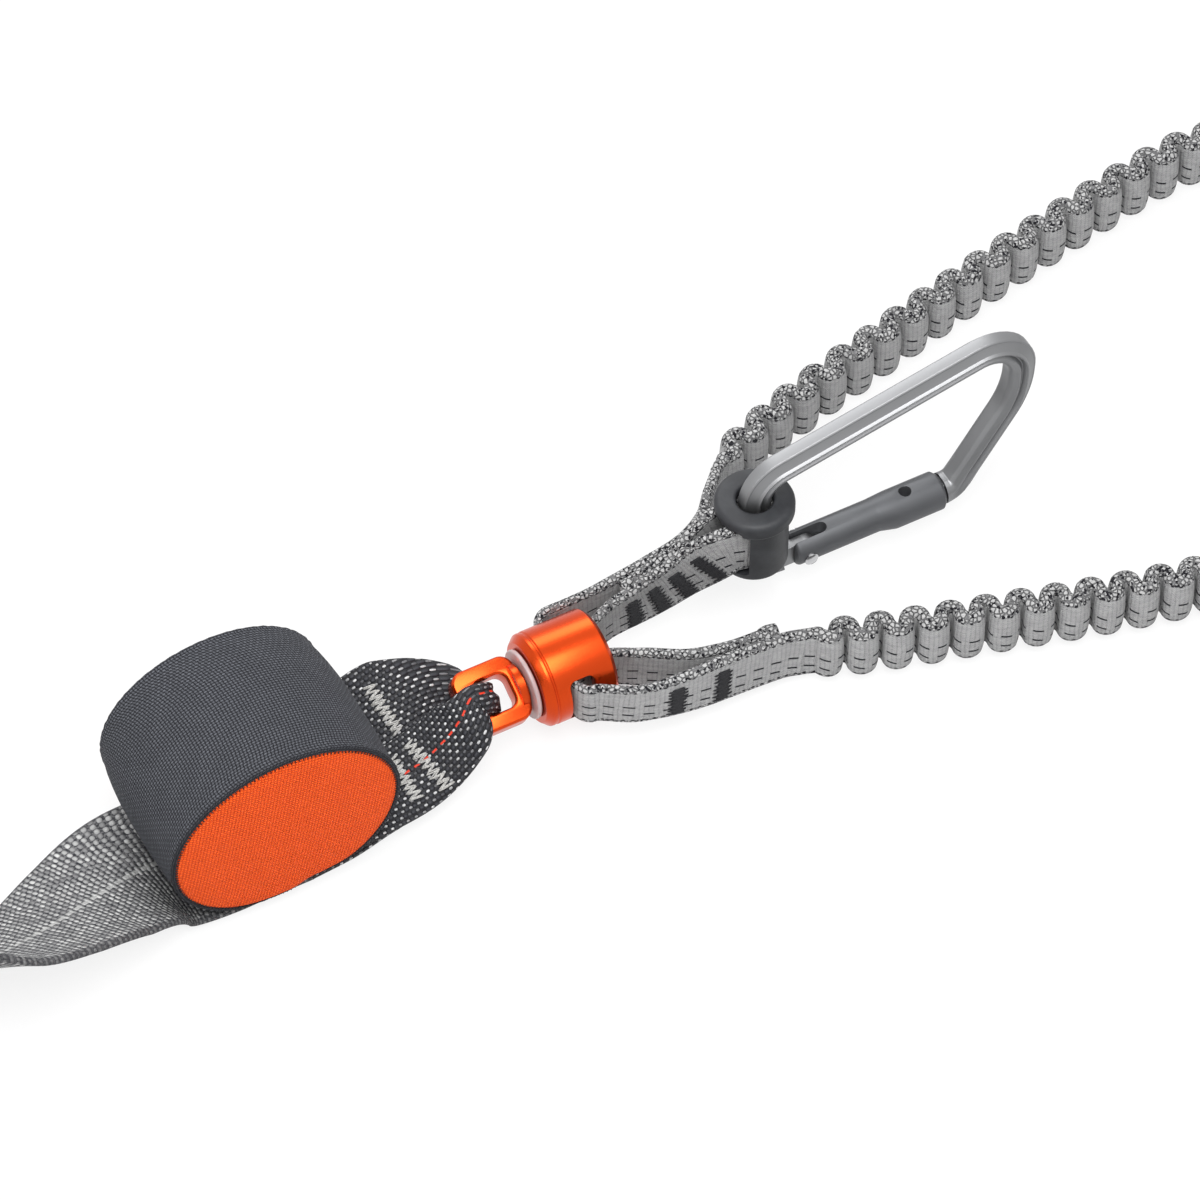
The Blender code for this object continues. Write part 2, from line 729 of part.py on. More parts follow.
def swivel_eye(mat):
    """The eye plate and its stem, one forging."""
    frame = eye_frame()
    curve = bpy.data.curves.new("swivel_eye", "CURVE")
    curve.dimensions = "2D"
    curve.fill_mode = "BOTH"
    curve.extrude = EYE_THICKNESS / 2 - EYE_BEVEL
    curve.bevel_depth = EYE_BEVEL
    curve.bevel_resolution = 0
    curve.offset = -EYE_BEVEL
    hole_start = EYE_START + EYE_BAR
    outlines = (
        plate_outline(EYE_LENGTH, EYE_WIDTH, EYE_CORNER, EYE_START),
        plate_outline(EYE_HOLE_LENGTH, EYE_HOLE_WIDTH, EYE_HOLE_CORNER, hole_start),
    )
    for outline in outlines:
        spline = curve.splines.new("POLY")
        spline.points.add(len(outline) - 1)
        for point, (x, y) in zip(spline.points, outline):
            point.co = (x, y, 0, 1)
        spline.use_cyclic_u = True
    obj = replaced_by_mesh(add_object("swivel_eye", curve, mat, frame))
    nut_end = BARREL_START + BARREL_END_WALL + SEAT_GAP * 2 + INNER_WASHER_THICKNESS + NUT_THICKNESS
    thread_start = nut_end - NUT_THICKNESS - SEAT_GAP
    stem_start = hole_start + EYE_HOLE_LENGTH + EYE_BEVEL
    pieces = (
        ("stem", STEM_RADIUS, stem_start, thread_start),
        ("thread", STEM_THREAD_RADIUS, stem_start, nut_end + SEAT_GAP),
        ("collar", EYE_COLLAR_RADIUS, EYE_END - EYE_BEVEL * 3 / 2, EYE_END),
    )
    turned_pieces = [
        cylinder(name, radius, (low, 0, SWIVEL_HEIGHT), (high, 0, SWIVEL_HEIGHT), segments=STEM_SEGMENTS)
        for name, radius, low, high in pieces
    ]
    return replaced_by_mesh(joined(obj, *turned_pieces))


def ring_profile(inner, outer, low, high, chamfer=0):
    """A washer's closed profile, down its outer side first."""
    if not chamfer:
        return [(inner, high), (outer, high), (outer, low), (inner, low)]
    return [
        (inner, high),
        (outer - chamfer, high),
        (outer, high - chamfer),
        (outer, low + chamfer),
        (outer - chamfer, low),
        (inner, low),
    ]


def along_x(x):
    """Places a turned piece's own Z along the swivel's axis, starting at x."""
    return Matrix.Translation((x, 0, SWIVEL_HEIGHT)) @ Matrix.Rotation(math.pi / 2, 4, "Y")


def swivel_parts(orange, nylon, steel):
    bore = STEM_RADIUS + PIN_CLEARANCE
    turned(
        "eye_washer",
        ring_profile(bore, EYE_WASHER_RADIUS, 0, EYE_WASHER_THICKNESS),
        nylon,
        along_x(EYE_WASHER_START),
        WASHER_SEGMENTS,
    )
    cup = [
        (bore, BARREL_END_WALL),
        (CUP_RADIUS, BARREL_END_WALL),
        (CUP_RADIUS, BARREL_LENGTH),
        (BARREL_RADIUS - BARREL_CHAMFER, BARREL_LENGTH),
        (BARREL_RADIUS, BARREL_LENGTH - BARREL_CHAMFER),
        (BARREL_RADIUS, BARREL_CHAMFER),
        (BARREL_RADIUS - BARREL_CHAMFER, 0),
        (bore, 0),
    ]
    barrel = turned("swivel_barrel", cup, orange, along_x(BARREL_START))
    reach = BARREL_RADIUS + CUT_OVERRUN
    window = box(
        "barrel_windows",
        (WINDOW_END - WINDOW_LENGTH, -reach, SWIVEL_HEIGHT - WINDOW_HALF_HEIGHT),
        (WINDOW_END, reach, SWIVEL_HEIGHT + WINDOW_HALF_HEIGHT),
    )
    replaced_by_mesh(cut(barrel, window))
    washer_start = BARREL_START + BARREL_END_WALL + SEAT_GAP
    turned(
        "thrust_washer",
        ring_profile(bore, INNER_WASHER_RADIUS, 0, INNER_WASHER_THICKNESS),
        steel,
        along_x(washer_start),
        STEM_SEGMENTS,
    )
    turned(
        "stem_nut",
        ring_profile(STEM_THREAD_RADIUS + SEAT_GAP, NUT_RADIUS, 0, NUT_THICKNESS, SEAT_GAP),
        steel,
        along_x(washer_start + INNER_WASHER_THICKNESS + SEAT_GAP),
        NUT_SEGMENTS,
    )


def barrel_wrap(side):
    """The band's turn round a rim strip, from outside the barrel to inside it."""
    radius = (BAND_OUTSIDE_OFFSET - BAND_INSIDE_OFFSET) / 2
    middle = (BAND_OUTSIDE_OFFSET + BAND_INSIDE_OFFSET) / 2
    turn = arc((WRAP_CENTRE_X, middle), radius, FIRST_TURN, THIRD_TURN, TURN_STEPS)
    return [(x, side * y, SWIVEL_HEIGHT) for x, y in turn]


def band_widths(points):
    """The band is drawn in where it passes the barrel's windows."""
    narrow = BARREL_END + BAND_WIDTH / 3
    wide = narrow + BAND_WIDTH
    widths = []
    for point in points:
        share = min(1, max(0, (point.x - narrow) / (wide - narrow)))
        widths.append(BAND_WINDOW_WIDTH + (BAND_WIDTH - BAND_WINDOW_WIDTH) * share)
    return widths


def upper_loop_webbing(mat):
    bar = (LEASH_BAR_X, LEASH_BAR_Y)
    height = KEEPER_HEIGHT_ABOVE
    leash_turn = [(x, y, height) for x, y in arc(bar, WRAP_RADIUS, -FIRST_TURN, FIRST_TURN, TURN_STEPS)]
    outside = [(BARREL_END, BAND_OUTSIDE_OFFSET, SWIVEL_HEIGHT)]
    inside = [(BARREL_END - SEAT_GAP, BAND_INSIDE_OFFSET, SWIVEL_HEIGHT)]
    route = [
        *UPPER_BACK_ROUTE,
        *outside,
        *barrel_wrap(1),
        *inside,
        *UPPER_FRONT_ROUTE,
        *leash_turn,
        *UPPER_RETURN_ROUTE,
    ]
    points = smooth_route(route, BAND_STEP)
    return edge_strap("upper_loop_webbing", points, band_widths(points), BAND_THICKNESS, mat)


def lower_loop_webbing(mat):
    outside = [(WRAP_CENTRE_X + BAND_STEP, -BAND_OUTSIDE_OFFSET - LAYER_GAP, SWIVEL_HEIGHT)]
    inside = [(BARREL_END - SEAT_GAP, -BAND_INSIDE_OFFSET, SWIVEL_HEIGHT)]
    route = [
        *LOWER_BACK_ROUTE,
        *inside,
        *reversed(barrel_wrap(-1)),
        *outside,
        *LOWER_FRONT_ROUTE,
    ]
    points = smooth_route(route, BAND_STEP)
    return edge_strap("lower_loop_webbing", points, band_widths(points), BAND_THICKNESS, mat)


def serpentine(route):
    """The arm's middle line: its guide, swung from side to side by a sine with straight tails."""
    places = [Vector((x, y, ARM_HEIGHT)) for x, y in route]
    places[0] += (places[1] - places[0]).normalized() * SEAT_GAP
    guide = smooth_route(places, ARM_PITCH / POINTS_PER_WAVE / 2)
    lengths = [0]
    for a, b in zip(guide, guide[1:]):
        lengths.append(lengths[-1] + (b - a).length)
    waved = lengths[-1] - 2 * ARM_TAIL
    waves = round(waved / ARM_PITCH)
    total = waves * POINTS_PER_WAVE
    directions = tangents(guide)
    points = [guide[0]]
    index = 0
    for i in range(total + 1):
        wanted = ARM_TAIL + waved * i / total
        while lengths[index + 1] < wanted:
            index += 1
        sideways = directions[index].cross(UP)
        points.append(guide[index] + sideways * ARM_HALF_SWING * math.sin(math.tau * i / POINTS_PER_WAVE))
    points.append(guide[-1])
    return points


def least_self_gap(points):
    """The least distance between limbs that aren't next to each other, less the band's thickness."""
    skip = POINTS_PER_WAVE // 4 + 1
    best = math.inf
    for i, point in enumerate(points):
        for j in range(i + skip, min(i + POINTS_PER_WAVE + skip, len(points) - 1)):
            a, b = points[j], points[j + 1]
            share = min(1, max(0, (point - a).dot(b - a) / (b - a).length_squared))
            best = min(best, (a.lerp(b, share) - point).length)
    return best - ARM_THICKNESS


def elastic_arm(name, route, mat):
    points = serpentine(route)
    print(f"{name}: least gap to itself {least_self_gap(points) * 1000:.2f} mm")
    curve = bpy.data.curves.new(name, "CURVE")
    curve.dimensions = "3D"
    curve.twist_mode = "Z_UP"
    curve.fill_mode = "FULL"
    curve.extrude = ARM_WIDTH / 2 - ARM_THICKNESS / 2
    curve.bevel_depth = ARM_THICKNESS / 2
    curve.bevel_resolution = 0
    curve.use_fill_caps = True
    spline = curve.splines.new("POLY")
    spline.points.add(len(points) - 1)
    for point, place in zip(spline.points, points):
        point.co = (*place, 1)
    return replaced_by_mesh(add_object(name, curve, mat))


def bar_profile():
    """Half-turned outline of the grooved bar: flats in and out, a groove on each side."""
    half = BAR_DEPTH / 2
    high = BAR_HEIGHT / 2
    cheek = high * BAR_CHEEK_SHARE
    floor = high * BAR_GROOVE_SHARE
    side = (
        (half * BAR_FLAT_SHARE, high),
        (half, cheek),
        (half - BAR_GROOVE, floor),
        (half - BAR_GROOVE, -floor),
        (half, -cheek),
        (half * BAR_FLAT_SHARE, -high),
    )
    return [*side, *((-x, -y) for x, y in side)]


def bar_frame(name, corners, radii, mat, matrix):
    """A grooved bar swept along a path in the XZ plane of its own matrix."""
    path = rounded_path(corners, radii, CORNER_STEPS)
    path = [Vector((p.x, 0, p.y)) for p in path]
    profile = bar_profile()
    rings = []
    for point, along in zip(path, tangents(path)):
        inward = SIDE_AXIS.cross(along)
        rings.append([point + SIDE_AXIS * x + inward * y for x, y in profile])
    obj = loft(name, rings, mat)
    obj.matrix_world = matrix
    return obj


def connector_frame(name, corners, radii, hinge, nose, bar_end, mat, matrix, extra_cuts=()):
    """The bar with its hinge lug and its nose tongue. hinge and nose are (x, height) in its plane."""
    obj = bar_frame(name, corners, radii, mat, matrix)
    half_lug = HINGE_LUG / 2
    lug = box(
        name + "_lug",
        (bar_end - CUT_OVERRUN, -half_lug, hinge[1] - LUG_RADIUS),
        (hinge[0], half_lug, hinge[1] + LUG_RADIUS),
        matrix=matrix,
    )
    eye = cylinder(
        name + "_lug_end",
        LUG_RADIUS,
        (hinge[0], -half_lug, hinge[1]),
        (hinge[0], half_lug, hinge[1]),
        matrix=matrix,
        segments=KEEPER_SEGMENTS,
    )
    tongue_middle = nose[1]
    tongue = box(
        name + "_tongue",
        (nose[0] - NOSE_TONGUE_LENGTH, -NOSE_TONGUE_WIDTH / 2, tongue_middle - NOSE_TONGUE_HEIGHT / 2),
        (nose[0] + CUT_OVERRUN, NOSE_TONGUE_WIDTH / 2, tongue_middle + NOSE_TONGUE_HEIGHT / 2),
        matrix=matrix,
    )
    hole = cylinder(
        name + "_hole",
        RIVET_RADIUS + PIN_CLEARANCE,
        (hinge[0], -BAR_DEPTH, hinge[1]),
        (hinge[0], BAR_DEPTH, hinge[1]),
        matrix=matrix,
    )
    joined(obj, lug, eye, tongue)
    return replaced_by_mesh(cut(obj, hole, *extra_cuts))


def gate(name, hinge, nose, mat, matrix):
    """A tube gate with a forked hinge end, a bore for its plunger and a slot for the nose's tongue."""
    start = hinge[0] - GATE_EAR_REACH
    end = nose[0] - NOSE_GAP
    step = start + (end - start) * GATE_STEP_SHARE
    height = hinge[1]
    neck_ends = (start, 0, height), (step, 0, height)
    obj = cylinder(name, GATE_NECK_RADIUS, *neck_ends, mat, matrix, GATE_SEGMENTS)
    nose_start = (step - CUT_OVERRUN, 0, height)
    nose_tube = cylinder(
        name + "_nose_tube", GATE_RADIUS, nose_start, (end, 0, height), matrix=matrix, segments=GATE_SEGMENTS
    )
    fork_half = HINGE_LUG / 2 + PIN_CLEARANCE
    fork = box(
        name + "_fork",
        (start - CUT_OVERRUN, -fork_half, height - GATE_RADIUS - CUT_OVERRUN),
        (hinge[0] + GATE_FORK_DEPTH, fork_half, height + GATE_RADIUS + CUT_OVERRUN),
        matrix=matrix,
    )
    bore = cylinder(
        name + "_bore",
        GATE_BORE_RADIUS,
        (hinge[0], 0, height),
        (hinge[0] + GATE_BORE_DEPTH, 0, height),
        matrix=matrix,
    )
    tongue_half = NOSE_TONGUE_WIDTH / 2 + PIN_CLEARANCE
    slot = box(
        name + "_slot",
        (end - NOSE_TONGUE_LENGTH - PIN_CLEARANCE * 2, -tongue_half, height - GATE_RADIUS - CUT_OVERRUN),
        (end + CUT_OVERRUN, tongue_half, height + NOSE_TONGUE_HEIGHT / 2 + PIN_CLEARANCE),
        matrix=matrix,
    )
    rivet_hole = cylinder(
        name + "_rivet_hole",
        RIVET_RADIUS + PIN_CLEARANCE,
        (hinge[0], -GATE_RADIUS * 2, height),
        (hinge[0], GATE_RADIUS * 2, height),
        matrix=matrix,
    )
    joined(obj, nose_tube)
    return replaced_by_mesh(cut(obj, fork, bore, slot, rivet_hole))


def rivet(name, hinge, radius, mat, matrix):
    """A headed rivet across the plane at the hinge, its heads just outside a given radius."""
    seat = radius + SEAT_GAP
    top = seat + RIVET_HEAD_HEIGHT
    side = seat + RIVET_HEAD_HEIGHT * RIVET_SIDE_SHARE
    crown = RIVET_HEAD_RADIUS * RIVET_CROWN_SHARE
    profile = [
        (0, top),
        (crown, top),
        (RIVET_HEAD_RADIUS, side),
        (RIVET_HEAD_RADIUS, seat),
        (RIVET_RADIUS, seat),
        (RIVET_RADIUS, -seat),
        (RIVET_HEAD_RADIUS, -seat),
        (RIVET_HEAD_RADIUS, -side),
        (crown, -top),
        (0, -top),
    ]
    place = matrix @ Matrix.Translation((hinge[0], 0, hinge[1])) @ Matrix.Rotation(math.pi / 2, 4, "X")
    return turned(name, profile, mat, place, SMALL_SEGMENTS)


def plunger(name, hinge, mat, matrix):
    start = hinge[0] + LUG_RADIUS + SEAT_GAP
    height = hinge[1]
    end = start + PLUNGER_LENGTH
    return cylinder(name, PLUNGER_RADIUS, (start, 0, height), (end, 0, height), mat, matrix)


def keeper(name, mat, matrix):
    """A rubber boot on the carabiner's end bar, its own Z along the bar, its window toward -X."""
    top = KEEPER_HALF_HEIGHT
    shoulder = top - KEEPER_COLLAR_HEIGHT
    waist = shoulder - KEEPER_WALL
    bore = KEEPER_BORE_RADIUS
    collar = KEEPER_COLLAR_RADIUS
    profile = [
        (bore, top),
        (collar - KEEPER_CHAMFER, top),
        (collar, top - KEEPER_CHAMFER),
        (collar, shoulder + KEEPER_CHAMFER / 2),
        (KEEPER_RADIUS, waist),
        (KEEPER_RADIUS, -top + KEEPER_WALL),
        (KEEPER_RADIUS - KEEPER_WALL, -top),
        (bore, -top),
    ]
    obj = turned(name, profile, mat, matrix, KEEPER_SEGMENTS)
    half = CAVITY_HALF_HEIGHT
    cavity = cylinder(
        name + "_cavity",
        KEEPER_CAVITY_RADIUS,
        (0, 0, -half),
        (0, 0, half),
        matrix=matrix,
        segments=KEEPER_SEGMENTS,
    )
    mouth = box(
        name + "_mouth",
        (-collar - CUT_OVERRUN, -KEEPER_CAVITY_RADIUS, -half),
        (0, KEEPER_CAVITY_RADIUS, half),
        matrix=matrix,
    )
    return replaced_by_mesh(cut(obj, cavity, mouth))


def leash_carabiner(silver, grey, steel, rubber):
    matrix = Matrix.Translation((LEASH_BAR_X, LEASH_BAR_Y, 0))
    hinge = (LEASH_HINGE_REACH, LEASH_GATE_HEIGHT)
    nose = (LEASH_NOSE_REACH, LEASH_GATE_HEIGHT)
    bar_end = LEASH_HINGE_REACH - BAR_HEIGHT
    corners = (
        (bar_end, LEASH_GATE_HEIGHT),
        (0, LEASH_GATE_HEIGHT),
        (0, LEASH_BAR_TOP),
        (LEASH_TIP_REACH, LEASH_TIP_HEIGHT),
        LEASH_SIDE,
        (LEASH_FOOT_REACH, LEASH_GATE_HEIGHT),
        nose,
    )
    connector_frame("leash_frame", corners, LEASH_CORNER_RADII, hinge, nose, bar_end, silver, matrix)
    gate("leash_gate", hinge, nose, grey, matrix)
    rivet("leash_rivet", hinge, GATE_NECK_RADIUS, steel, matrix)
    plunger("leash_plunger", hinge, steel, matrix)
    keeper("leash_keeper", rubber, Matrix.Translation((LEASH_BAR_X, LEASH_BAR_Y, KEEPER_HEIGHT_ABOVE)))


def lever_profile_box(name, start, end, side, mat, matrix):
    """A channel that straddles the spine from outside: a base and two cheeks."""
    inner = BAR_DEPTH / 2 + LEVER_CLEARANCE
    outer = inner + LEVER_WALL
    base_low = side + BAR_HEIGHT / 2 + LEVER_TRAVEL_GAP
    base_high = base_low + LEVER_WALL
    cheek_low = base_high - LEVER_WALL - LEVER_CHEEK
    obj = box(name, (start, -outer, cheek_low), (end, outer, base_high), mat, matrix)
    hollow = box(
        name + "_hollow",
        (start - CUT_OVERRUN, -inner, base_low - LEVER_CHEEK - CUT_OVERRUN),
        (end + CUT_OVERRUN, inner, base_low),
        matrix=matrix,
    )
    return cut(obj, hollow)


def end_connector(prefix, matrix, materials):
    """An auto-locking connector with a palm lever, lying flat: its own XZ plane is the connector's."""
    silver, grey, steel, rubber = materials
    hinge = (END_HINGE_REACH, END_GATE_SIDE)
    nose = (END_NOSE_REACH, END_GATE_SIDE)
    bar_end = END_HINGE_REACH - BAR_HEIGHT
    corners = (
        (bar_end, END_GATE_SIDE),
        (0, END_GATE_SIDE),
        (0, END_SPINE_SIDE),
        (END_TIP_REACH, END_SHOULDER),
        (END_TIP_REACH, END_TIP_SIDE),
        (END_FOOT_REACH, END_GATE_SIDE),
        nose,
    )
    slope = math.atan2(END_SHOULDER - END_SPINE_SIDE, END_TIP_REACH)
    spine_matrix = matrix @ Matrix.Translation((0, 0, END_SPINE_SIDE)) @ Matrix.Rotation(-slope, 4, "Y")
    pin_place = (LEVER_START, 0)
    reach = BAR_DEPTH * 2
    pin_hole = cylinder(
        prefix + "_frame_pin_hole",
        RIVET_RADIUS + PIN_CLEARANCE,
        (pin_place[0], -reach, 0),
        (pin_place[0], reach, 0),
        matrix=spine_matrix,
    )
    connector_frame(
        prefix + "_frame", corners, END_CORNER_RADII, hinge, nose, bar_end, silver, matrix, (pin_hole,)
    )
    gate(prefix + "_gate", hinge, nose, grey, matrix)
    rivet(prefix + "_rivet", hinge, GATE_NECK_RADIUS, steel, matrix)
    plunger(prefix + "_plunger", hinge, steel, matrix)
    lever = lever_profile_box(
        prefix + "_lever", LEVER_START - LEVER_EAR_REACH, LEVER_START + LEVER_REACH, 0, grey, spine_matrix
    )
    lever_hole = cylinder(
        prefix + "_lever_pin_hole",
        RIVET_RADIUS + PIN_CLEARANCE,
        (pin_place[0], -reach, 0),
        (pin_place[0], reach, 0),
        matrix=spine_matrix,
    )
    ears = []
    inner = BAR_DEPTH / 2 + LEVER_CLEARANCE
    for name, low, high in (("_ear_a", inner, inner + LEVER_WALL), ("_ear_b", -inner - LEVER_WALL, -inner)):
        ears.append(
            box(
                prefix + "_lever" + name,
                (LEVER_START - LEVER_EAR_REACH, low, -LEVER_EAR_DROP),
                (LEVER_START + LEVER_EAR_REACH, high, BAR_HEIGHT / 2 + LEVER_TRAVEL_GAP),
                matrix=spine_matrix,
            )
        )
    joined(lever, *ears)
    replaced_by_mesh(cut(lever, lever_hole))
    rivet(prefix + "_lever_pin", pin_place, inner + LEVER_WALL, steel, spine_matrix)
    turn = Matrix.Translation((0, 0, END_STRAP_CENTRE))
    keeper(prefix + "_keeper", rubber, matrix @ turn)


def end_loop(prefix, arm_end, bar, mat):
    """On edge at the arm, a quarter twist, then round the connector's bar and back along itself."""
    pitch = BAND_THICKNESS + LAYER_GAP
    twist_end = arm_end.x + END_TWIST_LENGTH
    split = bar.x - END_LOOP_SPLIT
    start = arm_end.x + SEAT_GAP
    centre_y = arm_end.y

    def rise(x, first, last):
        share = min(1, max(0, (x - split) / (bar.x - split)))
        return first + (last - first) * share * share * (3 - 2 * share)

    out_leg = []
    back_leg = []
    for i in range(END_LOOP_STATIONS + 1):
        x = start + (bar.x - start) * i / END_LOOP_STATIONS
        roll = math.pi / 2 * min(1, max(0, 1 - (x - start) / (twist_end - start)))
        across = Vector((0, math.cos(roll), math.sin(roll)))
        normal = Vector((0, -math.sin(roll), math.cos(roll)))
        guide = Vector((x, centre_y, bar.z))
        out_leg.append((guide + normal * rise(x, 0, WRAP_RADIUS), across, normal))
        back_leg.append((guide + normal * rise(x, -pitch, -WRAP_RADIUS), across, normal))
    turn = []
    for i in range(1, TURN_STEPS):
        angle = math.pi / 2 - math.pi * i / TURN_STEPS
        outward = Vector((math.cos(angle), 0, math.sin(angle)))
        turn.append((Vector((bar.x, centre_y, bar.z)) + outward * WRAP_RADIUS, SIDE_AXIS, outward))
    rings = []
    for place, across, normal in out_leg + turn:
        rings.append(strap_ring(place, across, normal, BAND_WIDTH, BAND_THICKNESS))
    for place, across, normal in reversed(back_leg[2:]):
        rings.append(strap_ring(place, across, -normal, BAND_WIDTH, BAND_THICKNESS))
    return loft(prefix + "_end_loop", rings, mat)


def arm_end_assembly(prefix, route, mirrored, materials, band):
    """The end loop and its connector, set out from the arm's last point."""
    arm_end = Vector((*route[-1], END_BAR_HEIGHT))
    bar = Vector((arm_end.x + END_LOOP_LENGTH, arm_end.y, END_BAR_HEIGHT))
    end_loop(prefix, arm_end, bar, band)
    side = -1 if mirrored else 1
    lay_flat = Matrix.Rotation(-side * math.pi / 2, 4, "X")
    place = Matrix.Translation((bar.x, bar.y - side * END_STRAP_CENTRE, bar.z))
    matrix = place @ Matrix.Rotation(END_TILT, 4, "Y") @ lay_flat
    end_connector(prefix, matrix, materials)


def main():
    clear_scene()
    charcoal = material("charcoal_cloth", (0.045, 0.047, 0.052), 0.85)
    orange_cloth = material("orange_cloth", (0.86, 0.10, 0.012), 0.75)
    grey_web = material("grey_webbing", (0.36, 0.36, 0.37), 0.85)
    black_web = material("black_webbing", (0.03, 0.03, 0.034), 0.8)
    band = material("grey_band", (0.30, 0.30, 0.31), 0.85)
    orange = material("orange_anodised", (0.85, 0.12, 0.015), 0.28, 1.0)
    nylon = material("pale_nylon", (0.82, 0.72, 0.70), 0.4)
    steel = material("bright_steel", (0.62, 0.62, 0.63), 0.25, 1.0)
    silver = material("satin_silver", (0.45, 0.46, 0.47), 0.35, 1.0)
    grey = material("grey_anodised", (0.13, 0.135, 0.145), 0.4, 0.8)
    rubber = material("black_rubber", (0.03, 0.031, 0.034), 0.6)

    side_band(charcoal)
    end_panel("pouch_front_panel", -1, orange_cloth)
    end_panel("pouch_back_panel", 1, orange_cloth)
    tear_pack(black_web)
    tie_in_webbing(grey_web)
    absorber_loop_webbing(black_web)
    swivel_eye(orange)
    swivel_parts(orange, nylon, steel)
    upper_loop_webbing(band)
    lower_loop_webbing(band)
    elastic_arm("upper_elastic_arm", UPPER_ARM_ROUTE, band)
    elastic_arm("lower_elastic_arm", LOWER_ARM_ROUTE, band)
    leash_carabiner(silver, grey, steel, rubber)
    materials = (silver, grey, steel, rubber)
    arm_end_assembly("upper", UPPER_ARM_ROUTE, False, materials, band)
    arm_end_assembly("lower", LOWER_ARM_ROUTE, True, materials, band)


main()
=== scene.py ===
"""The via ferrata lanyard, dressed: cloth pouch, webbings, stitching, swivel, carabiner and connectors."""

import math
import random

import bmesh
import bpy
import numpy as np
from mathutils import Matrix, Vector


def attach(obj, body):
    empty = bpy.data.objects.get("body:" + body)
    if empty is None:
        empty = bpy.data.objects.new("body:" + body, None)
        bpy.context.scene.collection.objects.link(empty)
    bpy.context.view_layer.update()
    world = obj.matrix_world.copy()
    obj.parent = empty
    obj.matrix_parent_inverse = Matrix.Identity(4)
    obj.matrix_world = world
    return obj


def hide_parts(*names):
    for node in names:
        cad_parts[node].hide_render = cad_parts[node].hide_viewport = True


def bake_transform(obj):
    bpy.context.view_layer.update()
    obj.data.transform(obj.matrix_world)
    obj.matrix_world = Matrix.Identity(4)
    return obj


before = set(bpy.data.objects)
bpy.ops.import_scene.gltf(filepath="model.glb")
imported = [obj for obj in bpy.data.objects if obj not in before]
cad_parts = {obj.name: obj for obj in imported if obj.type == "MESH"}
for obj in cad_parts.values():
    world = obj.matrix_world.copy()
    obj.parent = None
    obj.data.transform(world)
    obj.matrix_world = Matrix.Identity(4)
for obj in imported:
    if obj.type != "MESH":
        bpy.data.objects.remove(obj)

random.seed(7)
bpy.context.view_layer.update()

MM = 0.001
WELD_DISTANCE = 0.00001

# Sizes shared with the solids, in millimetres
GAP = 0.3
WEBBING_WIDTH = 42
WEBBING_THICKNESS = 2.2
BAND_WIDTH = 17
BAND_THICKNESS = 2.2
BAND_WINDOW_WIDTH = 13.8
BAND_FULL_THICKNESS = 2.8
ARM_FULL_THICKNESS = 3.2
ARM_BULGE = 0.95
ARM_FLANK_SHARE = 0.2
POUCH_CENTRE = 0.8
POUCH_HALF_LENGTH = 30.8
POUCH_HALF_HEIGHT = 27.0
POUCH_CENTRE_HEIGHT = 27.5
BACK_INSET = 1.3
BACK_DEPTH_SHARE = 0.95
SWIVEL_HEIGHT = 13
BARREL_START = 78
BARREL_LENGTH = 20
BARREL_END = BARREL_START + BARREL_LENGTH
BARREL_RADIUS = 12.5
CUP_RADIUS = 9.6
BARREL_END_WALL = 5.5
WINDOW_LENGTH = 6.9
RIM_STRIP_LENGTH = 6.5
WINDOW_HALF_HEIGHT = 7.3
BAND_INSIDE_OFFSET = 4.8
BAND_OUTSIDE_OFFSET = BARREL_RADIUS + GAP + BAND_THICKNESS / 2
WINDOW_END = BARREL_END - RIM_STRIP_LENGTH
EYE_LENGTH = 17
EYE_WIDTH = 17.4
EYE_THICKNESS = 6
EYE_BAR = 4.8
EYE_HOLE_LENGTH = 9
EYE_HOLE_WIDTH = 9.2
EYE_ROLL = math.radians(25)
WASHER_RADIUS = 9.3
WASHER_THICKNESS = 1.2
WASHER_START = BARREL_START - GAP - WASHER_THICKNESS
EYE_END = WASHER_START - GAP
EYE_START = EYE_END - EYE_LENGTH
STEM_RADIUS = 4
CUTTER_REACH = 3
ARM_HEIGHT = 10
ARM_HALF_SWING = 2.2
ARM_LAP = 1.2
ARM_LAP_STEP = 0.05
UPPER_ARM_PITCH = 9.8
LOWER_ARM_PITCH = 9.0
ARM_TAIL = 3.5
ARM_GUIDE_STEP = 0.25
ARM_STEP = 0.42
BAR_HALF_DEPTH = 3.8
BAR_HALF_HEIGHT = 3.9
GATE_RADIUS = 5.2
GATE_NECK_RADIUS = 4.5
HINGE_LUG = 2.8
LUG_RADIUS = 3.4
KEEPER_HALF_HEIGHT = 11.6
KEEPER_RADIUS = 8.8
KEEPER_CAVITY_RADIUS = 7.2
KEEPER_COLLAR_RADIUS = 10.3
KEEPER_BORE_RADIUS = 4.7
KEEPER_COLLAR_HEIGHT = 3.8
KEEPER_MOUTH_STEP = 0.2
KEEPER_MOUTH_CORNER = 1.2
WRAP_RADIUS = 5.7
LEASH_BAR = (146.5, 7.5)
LEASH_KEEPER_HEIGHT = 27
END_LOOP_LENGTH = 42
END_TWIST_LENGTH = 20
END_BAR_HEIGHT = 10.6
END_TILT = math.radians(3.85)
END_STRAP_CENTRE = -2
END_SPINE_SIDE = 20
END_SHOULDER = 34
END_TIP_REACH = 97
END_LAYER_GAP = 0.4
END_SPLIT_LENGTH = 17.1
LEVER_PIN = 16
LEVER_LENGTH = 48
LEVER_WALL = 1.4
LEVER_INNER = BAR_HALF_DEPTH + 0.5
LEVER_OUTER = LEVER_INNER + LEVER_WALL
LEVER_TOP = 8.5
LEVER_CORNER = 1.1
LEVER_BLANK_HEIGHT = 7.6
